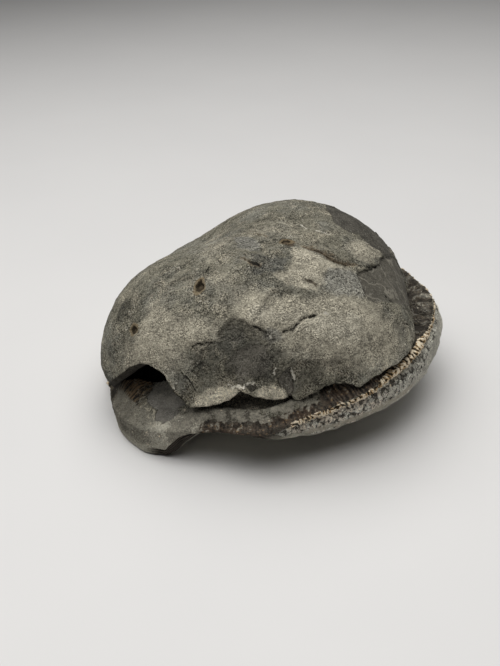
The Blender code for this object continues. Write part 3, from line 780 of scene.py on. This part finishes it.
# ------------------------------------------------------------
# The cap is the upper half of the split nodule, grey mudstone with a weathered skin. Hammer blows
# took flakes from its crown, its right side and its front, which show fresh dark stone. It is a
# loose piece that lies on the shell, a hair above the highest ribs.
# ------------------------------------------------------------
GAP = 0.6                      # clearance between the cap and the highest ribs under it
RUB_ROOM = 0.36                # least clearance between the two worked surfaces
# The nodule: its centre, the half sizes from it, and how square its ellipsoid is.
STONE = np.array([-1.0, 0.0, 17.0])
STONE_LEFT = 46.3
STONE_RIGHT = 44.0
STONE_FRONT = 43.0
STONE_BACK = 44.0
STONE_TOP = 32.0
STONE_UNDER = 22.0
STONE_SQUARENESS = 2.3
# Broad swells and hollows of the nodule: azimuth, elevation, spread, rise.
SWELLS = [
    (207, -4, 12, 3.3), (180, 22, 20, 0.6), (170, 35, 22, -2.7), (150, 50, 22, -3), (140, 30, 22, -8.2),
    (50, 55, 24, 0.9), (350, 15, 16, -1.2), (326, 3, 13, 2.2)]
# Flat flakes struck off it: azimuth, elevation, depth at the middle.
FLAKES = [(95, 26, 1.6), (70, 10, 1.2), (150, 4, 0.9)]
# The broken rim: azimuth, elevation from the stone's centre.
RIM = [
    (0, 11.5), (12, 12.5), (21, 10.5), (30, 11.5), (40, 8), (48, 9), (60, 5.6), (72, 4.6), (78, 1.6),
    (90, 3.5), (101, -2), (112, 0.5), (122, -5), (135, -4), (147, -9), (160, -7), (172, -10.5), (190, -9),
    (203, -8), (209, -6.5), (211.7, -3.4), (217.2, 2), (220.3, 6.1), (224.3, 9.1), (228, 10.1), (232.8, 9),
    (234.8, 8.2), (236.1, 6.1), (238.3, 2.9), (240.4, 0.2), (243.8, -2.3), (246.4, -0.8), (254, 1.7),
    (257.4, 3.8), (261.1, 7.6), (265.9, 5.5), (272.4, 3.9), (278.5, 4.9), (280.3, 2.3), (286.8, 6),
    (290.2, 7.5), (294.1, 8.1), (298.1, 7.2), (302.4, 4.9), (308.6, 7), (315.4, 7.7), (325.5, 8.4),
    (334.7, 8.1), (343.5, 9.4), (350, 11)]
# Headroom under the cap, over the shell, and over the middle and the very centre of the coil.
HEADROOM = [
    (0, 0.3), (60, 0.1), (150, 0.4), (185, 0.5), (205, 1), (212, 3), (225, 8.5), (236, 5.5), (244, 2.5),
    (262, 3.5), (280, 0.8), (295, 0.8), (320, 0.2)]
MIDDLE_ROOM = 2.4
CENTRE_ROOM = 4.2
# How far the broken rim hangs below its outer edge, where the cap stands clear of the shell.
BREAK = [(0, 9), (190, 9), (200, 3), (206, 2), (221, 1.8), (227, 0.8), (236, 0.8), (246, 9)]
UNDER_INSETS = (0.12, 0.3, 0.6, 0.9, 1.2, 1.6, 2, 2.5, 3, 3.6, 4.2, 5, 5.8, 6.7, 7.7, 8.8, 10, 11.3, 12.7,
                14.2, 15.8, 17.5, 19.5, 22, 25, 28, 31.5, 35)
RIM_ROLL = 1.2                 # the rim rolls in over this distance
OUTER_ROWS = 148
ROW_CROWDING = 1.18            # over 1, the rows draw together towards the rim
RIM_SHARES = (0.004, 0.0)      # the last two rows' shares of the way from the rim up to the crown
LOWEST_ROWS = 4                # the rows next to the rim, which are kept clear of the shell
CAP_FRONT = (195, 345)         # azimuths between which the columns are finer
CAP_FRONT_COLUMNS = 350
CAP_BACK_COLUMNS = 190
CLEAR = 9.0                    # the distance that stands for far from any crack, pit or scar

# The map of the front face: millimetres right and up from its middle, which looks up at 33 degrees.
FACE_TILT = np.radians(33.0)
FACE_OUT = np.array([0, -np.cos(FACE_TILT), np.sin(FACE_TILT)])
FACE_UP = np.array([0, np.sin(FACE_TILT), np.cos(FACE_TILT)])
FACE_SCALE = 46.0
# Scars of struck flakes: depth, how dark the fresh stone is, how soft their edge is, the outline.
SCARS = {
    "middle": (0.7, 0.68, 0.5, [(-13.5, -6.1), (-13.9, -4.5), (-11.3, -0.5), (-9.3, 0.2), (-7, -0.3),
        (-4.6, -1.7), (-0.6, -3.4), (2.9, -5.8), (1.6, -7.2), (1.6, -9.3), (2.3, -10.5), (1.8, -13),
        (1, -15.5), (0.2, -17.4), (-2.7, -18.3), (-4.7, -17.4), (-6.3, -19.3), (-8.5, -19.3), (-11.8, -16.6),
        (-12.6, -13), (-13.2, -9.5), (-14.3, -6.8)]),
    "left lobe": (0.35, 0.42, 0.8, [(-14.3, -6.8), (-13, -9.5), (-12.6, -13), (-12.4, -16.4), (-15.9, -17.2),
        (-19.1, -16.7), (-21.6, -13.9), (-20.9, -11), (-17.9, -8.2)]),
    "core": (0.1, 1, 3.4, [(-10.4, -8.6), (-6.2, -5.9), (-2.4, -5.6), (0.6, -6.9), (1.8, -8.8), (2.1, -12.9),
        (0.6, -16.6), (-2.6, -18), (-7.2, -18.1), (-10.7, -16.3), (-11, -9.4)]),
    "right lobe": (0.25, 0.36, 0.8, [(1.8, -8.6), (5.2, -8.2), (6.4, -10.4), (4.9, -13), (3.6, -16.4),
        (1.2, -17.2)]),
    "right": (0.6, 0.36, 0.45, [(6.6, -12.8), (8.6, -12.2), (12.2, -12), (15.4, -11.4), (20.1, -11.4),
        (22.3, -12.5), (23.4, -15.4), (23.2, -18), (16.6, -20.6), (13.2, -24.4), (9.5, -26.9), (7.9, -25.1),
        (6.9, -17.1)]),
    "wedge": (1, 1, 0.45, [(6.6, -12.8), (4.4, -14.9), (3.3, -17.1), (3.9, -19), (5.1, -20.2), (7, -24.6),
        (7.7, -23.2), (7.5, -17.1)]),
    "upper": (0.5, 0.6, 0.8, [(-2.7, 1.8), (-1.5, 5.5), (0.3, 7.8), (2.5, 9.2), (5.2, 8.8), (10, 8.5),
        (9.9, 7.7), (5.9, 7.3), (3.3, 6), (0.6, 3), (-2.4, 0.3), (-3.8, -0.5)]),
    "arc": (0.25, 0.45, 0.5, [(12, 13.9), (14.9, 13.3), (16.8, 11.1), (16.4, 9.6), (15, 10.9),
        (13.1, 12.2)]),
    "shoulder": (0.5, 1, 0.55, [(62, 33), (52.1, 28.2), (48.2, 23.9), (38.2, 18.9), (33.5, 17.8), (32, 15.4),
        (32.7, 13.2), (32.3, 8.2), (33.4, 6.4), (34.9, 5.4), (40.2, 6), (53, 5.8), (61, 6.3), (69, 3.5),
        (84, 10), (86, 30), (75, 38)]),
    "crown": (0.35, 1.32, 0.5, [(40.8, 73), (38.3, 59.1), (36.7, 52.4), (39.5, 45.6), (42.3, 43),
        (46.8, 43.4), (49.2, 40), (51.6, 35.4), (56.6, 33.9), (61.3, 29.7), (71, 35), (77, 46), (89, 53),
        (82, 66), (93, 78), (76, 84), (69, 97), (55, 90), (47, 93)]),
    "rim": (0.45, 0.12, 0.3, [(-25.6, -15.2), (-22.3, -18.1), (-21.1, -21.3), (-21.7, -23.1), (-25.2, -26.3),
        (-27.1, -24), (-28.3, -20.6), (-26.7, -17.8)]),
    "notch": (0.5, 0.75, 0.25, [(-6.5, -19.3), (-4.3, -18), (-3.2, -19.9), (-4.3, -20.9)]),
    "left": (0.15, 0.6, 1.5, [(-55.1, 9), (-47.6, 6.6), (-47.3, 1.4), (-51.8, -0.7), (-55.9, 0.8)]),
}
# Round pits where a shell fragment fell out: right, up, half width, half height, depth.
PITS = [(-22, 10.8, 1.5, 2.4, 1.2), (8.6, 33.1, 2.4, 1.5, 0.5), (-42.4, -3.3, 1.3, 1.6, 0.7)]
# Open cracks, rusty creases and pale chipped edges, partly painted highlight: depth, how much the stone steps
# up on the left, the line.
CRACKS = [
    (0.5, 0.25, [(-22.2, -7.9), (-18.9, -7), (-14.3, -6.4)]),
    (0.5, 0.2, [(-4.6, -1.6), (-2.2, -2.6), (-0.6, -3.6), (0.2, -4.8)]),
    (0.5, 0.3, [(3.6, -3.6), (7, -3.1), (9.4, -0.5), (12.2, 0.6), (15.5, 1.2)]),
    (0.6, 0.1, [(37.6, 19.8), (46.4, 22.4)]),
    (0.4, 0.1, [(-8.7, 22.1), (-5.2, 21), (-2, 19)]),
    (0.4, 0.2, [(3.4, -8.8), (4.6, -9.9)]),
    (0.3, 0.05, [(45.5, -1.1), (49.8, -1.4), (54.6, -2.6)]),
    (0.3, 0.2, [(-25.6, -15), (-23.9, -16.3), (-22.1, -18), (-20.9, -21.3)]),
    (0.15, 0.1, [(42.1, 8.7), (45.5, 5.6)]),
    (0.25, 0.05, [(-20.7, 19.7), (-21.8, 15.9)]),
]
CREASES = [
    (0.45, 0.45, [(13.8, 30.9), (17, 28.8), (21.3, 26), (23.8, 23.4), (27, 21.2), (30.5, 20.6), (35, 20.9)]),
    (0.15, 0.1, [(-6, 42.2), (-1.8, 40.7), (1.4, 38.7)]),
    (0.15, 0.1, [(-10, 23.8), (-6.8, 21.5), (-4.7, 19.9), (-2.7, 19.2), (-1.8, 20.2)]),
]
CHIPS = [
    (0, 0.15, [(-11.8, -18), (-9.7, -19.3), (-8, -19), (-6.8, -19.6), (-4.5, -17.6), (-2.9, -18.6)]),
    (0, 0.1, [(6.7, -13.2), (7.5, -15.6), (7.7, -17.5)]),
    (0, 0.05, [(2.3, -13.1), (2.1, -15.8)]),
    (0, 0.05, [(-0.2, -4), (1, -5.2), (0.2, -5.6)]),
    (0, 0.05, [(-25.7, -17.1), (-26.7, -18.1), (-28.1, -20.4), (-28.6, -21.6)]),
    (0, 0.05, [(16.4, 48.8), (20.8, 44.2), (25.8, 41.7), (30.2, 38.4)]),
    (0, 0.1, [(70.8, 5.6), (69.8, 1.2), (66, -4.1)]),
    (0, 0.05, [(16.4, 2.4), (18.6, 1.6)]),
]
# Broad tints of the skin: right, up, reach right, reach up, strength.
TINTS = {
    "pale": [(5, 1.5, 10, 5, 0.8), (20, -4.5, 12, 6, 0.85), (-30, -6, 6, 9, 0.7), (-36, -2, 3, 8, 0.5),
        (-3.3, 2.7, 4, 4, 0.6), (8, 46, 16, 9, 0.4), (-13, 12, 9, 8, 0.3), (-20, -3, 5, 3, 0.6),
        (36, -6, 14, 9, 0.5), (24, 4, 6, 5, 0.4), (-24, 34, 7, 8, 0.5), (-43, -14, 7, 8, 0.5)],
    "blue": [(1.4, -4.6, 3, 2, 0.9), (-30, 14, 12, 9, 0.3), (-9, 22, 6, 6, 0.4)],
    "brown": [(-42.2, -3, 2.2, 1.8, 0.6), (19.5, 6, 2, 4, 0.35), (12, 32, 3.5, 1, 0.4), (3, 38, 4, 1, 0.4)],
    "dark": [(7, -2.8, 5, 1.5, 0.4)],
}
# Patches with a firmer outline: tint, strength, how soft their edge is, the outline.
UPPER_LEFT = [(-16.3, 42.4), (-7.5, 39.8), (-1.8, 32.3), (-2.1, 27.2), (-6, 26.7), (-12.5, 29.9)]
PATCHES = [
    ("pale", 1.1, 2, [(10.2, 28.1), (14.2, 28.4), (18.7, 25.5), (21.8, 22.6), (25.9, 19.4), (32, 17.6),
        (22.3, 17.8), (18.6, 15.9), (19.1, 12.3), (17.4, 10.5), (15.1, 8.6), (11.5, 9.6), (4.6, 12.1),
        (1.5, 15.6), (7.3, 16.2), (9.2, 20.8), (9.4, 25.4)]),
    ("pale", 0.7, 3.5, [(44.3, 39), (51, 37.3), (55.5, 33.2), (55.9, 29.4), (47.7, 26.5), (42.8, 22.6),
        (37.6, 22.7), (34.2, 25.5), (33, 30.1), (38.6, 36.8)]),
    ("pale", 1.1, 0.8, [(-3.2, -20.5), (-1.4, -19), (1.4, -18.6), (4, -19.6), (6.1, -21.9), (5.3, -23.2),
        (0.9, -23.6), (-2.6, -22.5)]),
    ("pale", 1.1, 1.4, [(-21, -23), (-17.6, -19.8), (-12.9, -19.7), (-8.3, -20.2), (-10.2, -22.9),
        (-15.5, -25.6), (-20.4, -27), (-22.8, -26.1)]),
    ("blue", 1, 3, [(22.1, 18.2), (27.7, 18.6), (32.2, 17.2), (33, 13), (32.2, 8), (31.7, 6.6), (27.1, 7.5),
        (21.7, 7.6), (18.5, 9.7), (18.1, 13.8)]),
    ("blue", 0.8, 2, UPPER_LEFT),
    ("dark", 0.7, 1.2, [(-6.8, 26.7), (-1.7, 25.6), (1, 23.8), (9.2, 23.7), (7.1, 19.4), (5.8, 16.6),
        (-1.6, 16.2), (-3, 17.6), (-5.7, 21.5)]),
    ("dark", 0.45, 2, UPPER_LEFT),
    ("dark", 0.8, 0.8, [(-5.1, 18), (-2.7, 18), (-0.6, 16.2), (-1.6, 14.1), (-4.3, 15)]),
    ("brown", 0.55, 0.9, [(13.8, 30.4), (17, 28.1), (21.1, 25.3), (23.4, 22.7), (26.6, 20.4), (30.3, 19.5),
        (34.7, 19.8), (35.6, 21.6), (29.7, 23.2), (26.6, 25), (23.6, 27.9), (20.4, 29.9), (16.1, 32)]),
    ("brown", 1.5, 0.6, [(6.1, 35.3), (7.9, 36), (10.3, 34.7), (12.2, 32.8), (11.3, 30), (8.9, 30.4),
        (7.1, 32.2)]),
    ("brown", 0.9, 0.5, SCARS["arc"][3]),
    ("brown", 0.35, 0.5, SCARS["rim"][3]),
]


def direction(azimuth, elevation):
    a = np.radians(azimuth)
    e = np.radians(elevation)
    return np.stack([np.cos(e) * np.cos(a), np.cos(e) * np.sin(a), np.sin(e) + 0 * a], -1)


def face_map(ray):
    """Where a direction from the stone's centre meets the map of its front face."""
    scale = 2 * FACE_SCALE / np.maximum(1 + ray @ FACE_OUT, 0.2)
    return scale * ray[..., 0], scale * (ray @ FACE_UP)


def beside_line(x, y, line):
    """Distance to an open line, which side of it a point is on, and how far it is from the line's ends."""
    corners = np.array(line, float)
    lengths = np.hypot(*np.diff(corners, axis=0).T)
    total = lengths.sum()
    nearest = np.full(np.shape(x), 1e9)
    side = np.zeros(np.shape(x))
    middle = np.zeros(np.shape(x))
    start = 0.0
    for (x0, y0), (x1, y1), length in zip(corners, corners[1:], lengths):
        t, gap = to_segment(x, y, (x0, y0), (x1, y1))
        closer = gap < nearest
        nearest = np.where(closer, gap, nearest)
        side = np.where(closer, np.sign((x1 - x0) * (y - y0) - (y1 - y0) * (x - x0)), side)
        along = (start + t * length) / total
        middle = np.where(closer, window(along, 0, 0.25, 0.75, 1), middle)
        start += length
    return nearest, side, middle


def stone_body(ray):
    """Distance from the stone's centre to its surface before any flake was struck off."""
    half_x = np.where(ray[..., 0] < 0, STONE_LEFT, STONE_RIGHT)
    half_y = np.where(ray[..., 1] < 0, STONE_FRONT, STONE_BACK)
    half_z = np.where(ray[..., 2] < 0, STONE_UNDER, STONE_TOP)
    total = 0.0
    for axis, half in enumerate((half_x, half_y, half_z)):
        total = total + (np.abs(ray[..., axis]) / half) ** STONE_SQUARENESS
    reach = total ** (-1 / STONE_SQUARENESS)
    for azimuth, elevation, spread, rise in SWELLS:
        angle = np.degrees(np.arccos(np.clip(ray @ direction(azimuth, elevation), -1, 1)))
        reach = reach + rise * hump(angle, 0, spread)
    return reach


def stone_surface(ray):
    """The cap's worked surface, and the marks that its finish reads."""
    body = stone_body(ray)
    place = STONE + body[..., None] * ray
    right, up = face_map(ray)
    facing = smooth(-0.75, -0.45, ray @ FACE_OUT)
    ragged = 0.45 * rough(place, 2.6, 51, 2)
    fray = 0.45 * ripple(place, 1.7, 53)
    sway = 0.5 * ripple(place, 1.3, 55)
    reach = body
    for azimuth, elevation, depth in FLAKES:
        axis = direction(azimuth, elevation)
        level = stone_body(axis) - depth
        toward = ray @ axis
        reach = np.minimum(reach, np.where(toward > 0.3, level / np.maximum(toward, 0.3), 1e3))
    gloom = np.zeros(body.shape)
    for depth, dark, soft, outline in SCARS.values():
        inside = np.where(facing > 0.5, in_outline(right + ragged, up + fray, outline), -CLEAR)
        reach = reach - depth * smooth(-soft, 1.5 * soft, inside)
        gloom = np.maximum(gloom, dark * smooth(-soft, soft, inside))
    near = {"pit": np.full(body.shape, CLEAR)}
    for x, y, half_width, half_height, depth in PITS:
        gap = np.hypot((right - x) / half_width, (up - y) / half_height) + 0.35 * ripple(place, 1.5, 54)
        reach = reach - depth * smooth(1.0, 0.55, gap) * facing
        near["pit"] = np.minimum(near["pit"], gap)
    for mark, lines, width in (("crack", CRACKS, 0.28), ("rust", CREASES, 0.9), ("chip_highlight", CHIPS, 0.3)):
        near[mark] = np.full(body.shape, CLEAR)
        for depth, rise, line in lines:
            gap, side, middle = beside_line(right + 0.6 * ragged, up + sway, line)
            gap = np.where(facing > 0.5, gap, CLEAR)
            reach = reach - depth * hump(gap, 0, width) * smooth(0, 0.4, middle)
            reach = reach + rise * smooth(-0.3, 0.3, side * gap) * hump(gap, 0, 2.6) * middle
            near[mark] = np.minimum(near[mark], gap + 0.6 * smooth(0.25, 0.0, middle))
    worn = 0.30 * rough(place, 9.0, 61, 2) + 0.18 * rough(place, 2.4, 63, 3)
    fresh = smooth(0.5, 0.9, gloom)
    reach = reach + worn * (1 - fresh) + 0.16 * rough(place, 5.0, 66, 3) * fresh
    tints = {name: sum(s * hump(right, x, w) * hump(up, y, h) for x, y, w, h, s in table) * facing
             for name, table in TINTS.items()}
    for name, strength, soft, outline in PATCHES:
        inside = in_outline(right + 1.5 * ragged, up + 1.5 * fray, outline)
        tints[name] = np.maximum(tints[name], strength * smooth(-soft, soft, inside) * facing)
    veined = smooth(28, 34, right) * smooth(36, 31, up) * facing
    return reach, near, {"gloom": gloom, "veined": veined, **tints}


def cap_grid():
    """Rings of the cap, from its crown down to the broken rim and back under, with their marks."""
    left, right = CAP_FRONT
    azimuth = np.concatenate([np.linspace(left, right, CAP_FRONT_COLUMNS, endpoint=False),
                              np.linspace(right, left + 360, CAP_BACK_COLUMNS, endpoint=False) % 360])
    rim = np.interp(azimuth, *np.array(RIM + [(360 + RIM[0][0], RIM[0][1])]).T)
    at_rim = STONE + STONE_FRONT * direction(azimuth, rim)
    rim = rim + 0.35 * rough(at_rim, 2.2, 71, 2) + 0.35 * np.abs(ripple(at_rim, 5.0, 73))
    share = (1 - np.linspace(0, 1, OUTER_ROWS, endpoint=False)[1:]) ** ROW_CROWDING
    elevation = rim + (90 - rim) * np.concatenate([share, RIM_SHARES])[:, None]
    ray = direction(azimuth + 0 * elevation, elevation)
    reach, near, marks = stone_surface(ray)
    outer = STONE + reach[..., None] * ray
    lowest = outer[-LOWEST_ROWS:]
    shell = upper_face(*coil_polar(lowest[..., 0], lowest[..., 1]))
    lowest[..., 2] = np.maximum(lowest[..., 2], shell + RUB_ROOM)
    edge = outer[-1]
    inward = -direction(azimuth, 0 * azimuth)
    under = np.array([edge + inward * inset for inset in UNDER_INSETS])
    radius, turn = coil_polar(under[..., 0], under[..., 1])
    lift = around(HEADROOM, turn) * smooth(12, 36, radius) + MIDDLE_ROOM * smooth(28, 12, radius)
    ceiling = flank_height(radius, turn) + RIB_HEIGHT + GAP + lift + 0.12 * rough(under, 3.0, 75)
    ceiling = np.maximum(ceiling, edge[:, 2] - around(BREAK, azimuth))
    part = np.minimum(1.0, np.array(UNDER_INSETS) / RIM_ROLL)[:, None]
    level = edge[:, 2] * (1 - part) + ceiling * part
    under[..., 2] = np.maximum(level, upper_face(radius, turn) + RUB_ROOM)
    crown = direction(np.array([0.0]), np.array([90.0]))
    first = STONE + stone_surface(crown)[0][0] * crown[0]
    centre = np.array(coil_polar(*STONE[:2]))[:, None]
    last = np.array([*STONE[:2], float(flank_height(*centre)[0]) + RIB_HEIGHT + GAP + CENTRE_ROOM])
    blank = np.ones(under.shape[:2])
    marks = {name: np.concatenate([values, 0 * blank]) for name, values in marks.items()}
    marks.update({name: np.concatenate([values, CLEAR * blank]) for name, values in near.items()})
    rim_light_paint = smooth(10.0, 1.0, elevation - rim) * zone("painted light rim", azimuth)
    undercut_painted_shade = smooth(-0.5, -3.0, elevation) * zone("undercut_painted_shade", azimuth)
    marks["rim_painted_light"] = np.concatenate([rim_light_paint, 0 * blank])
    marks["underside_painted_shade"] = np.concatenate([0.6 * undercut_painted_shade, blank])
    return first, np.concatenate([outer, under]), last, marks


cap = solid_piece("nodule_cap_stone", *cap_grid())
f = Finish("grey_concretion")
colour, relief, light = stone_skin(f)
tone = f.noise(2.4, 4.0, 0.65)
broad = f.noise(6.0, 4.0, 0.6)
sparkle = f.noise(0.75, 2.0, 0.6)
# Tints that drift over the skin: pale, slate blue with bright and dark specks, brown, dark.
# The palest level, where the pale mark runs highest, is partly the stone's own pale patches and partly
# painted light on the low front rim, whose surface turns down from the light.
palest_with_painted_light = f.blend(f.step(1.5, 1.9, f.mark("pale") + tone), (0.38, 0.35, 0.276), (0.50, 0.465, 0.375))
slate = f.coats(
    f.shade((0.215, 0.210, 0.185), 0.1 + 0.9 * light),
    (0.8 * f.step(0.58, 0.68, sparkle), (0.40, 0.39, 0.355)),
    (0.75 * f.step(0.42, 0.33, sparkle), (0.03, 0.029, 0.027)))
colour = f.coats(
    colour,
    (0.85 * f.step(0.15, 0.85, "pale", (0.8, broad), (0.5, tone)), f.shade(palest_with_painted_light, 0.3 + 0.7 * light)),
    (0.7 * f.step(0.3, 0.75, "blue", (0.9, tone)), slate),
    (0.8 * f.step(0.35, 0.85, "brown", (1.4, tone), (0.8, sparkle)), f.shade((0.095, 0.073, 0.048), light)),
    (0.7 * f.step(0.2, 0.8, "dark", (0.9, tone)), f.shade((0.068, 0.068, 0.062), light)))
# Scars: at first only darker skin, and fresh dark stone where they are deepest; paler veins at the right.
gloom = f.mark("gloom")
gloom = gloom + 2.8 * gloom * (1.05 - gloom.least(1.0)) * (tone + f.noise(1.1, 2.0, 0.6) - 1.0)
veined = f.mark("veined")
vein = f.step(0.022, 0.006, abs(f.noise(8.0, 3.0) - 0.5)) * veined
grit = 0.7 - 0.3 * veined
fresh = f.blend(veined, (0.109, 0.101, 0.084), (0.110, 0.102, 0.083))
fresh = f.shade(fresh, (grit * light + 1.3 * tone + 0.4 - grit) * (2.0 - gloom.most(1.0)))
fresh = f.coats(fresh, (0.7 * vein, (0.29, 0.272, 0.222)),
                (0.5 * f.step(0.62, 0.70, f.noise(0.5, 1.0), (0.3, tone)), (0.29, 0.28, 0.24)))
bare = f.step(0.60, 0.98, gloom)
# Pale lines along chipped edges, partly painted highlight where the edges catch the light.
chip_highlight = f.step(0.42, 0.18, "chip_highlight", (2.0, sparkle), (1.4, tone))
colour = f.coats(f.shade(colour, 1.0 - 0.68 * gloom), (0.9 * bare, fresh), (0.85 * chip_highlight, (0.60, 0.57, 0.49)))
# The stone just above the broken rim is made paler: painted light for the low front rim, which turns down
# from the light.
colour = f.shade(colour, 1.0 + 0.55 * f.mark("rim_painted_light"))
# Pits with rusty rims, rusty creases, open cracks, and the underside and the undercut at the left painted
# near-black as painted shade.
pit = f.stir("pit", (0.3, sparkle))
colour = f.coats(
    colour,
    (0.7 * f.step(1.5, 1.15, pit), (0.20, 0.15, 0.085)),
    (0.9 * f.step(1.05, 0.8, pit), (0.022, 0.017, 0.011)),
    (0.7 * f.step(0.6, 0.3, pit), (0.11, 0.085, 0.055)),
    (0.45 * f.step(1.1, 0.2, "rust", (2.0, tone), (1.5, sparkle)), f.shade((0.16, 0.118, 0.074), light)),
    (0.7 * f.step(0.35, 0.05, "rust", (1.2, tone), (1.0, sparkle)), (0.040, 0.030, 0.020)),
    (0.92 * f.step(0.34, 0.12, "crack", (1.6, tone), (1.0, sparkle)), (0.012, 0.011, 0.009)),
    (0.95 * f.mark("underside_painted_shade"), f.shade((0.022, 0.019, 0.015), 0.5 + 0.5 * light)))
f.apply(cap, Base_Color=colour, Roughness=0.90 - 0.16 * bare + 0.05 * light,
        Normal=relief * (1 - 0.6 * bare) + 0.05 * tone)
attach(cap, "root")
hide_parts("nodule_cap")

# ------------------------------------------------------------
# The board's own finish is matt pale paint, mottled a little.
# ------------------------------------------------------------
f = Finish("table_paint")
mottle = f.noise(60.0, 3.0)
f.apply(table_top, Base_Color=f.blend(mottle, (0.66, 0.656, 0.656), (0.70, 0.695, 0.692)),
        Roughness=0.8 + 0.1 * mottle)
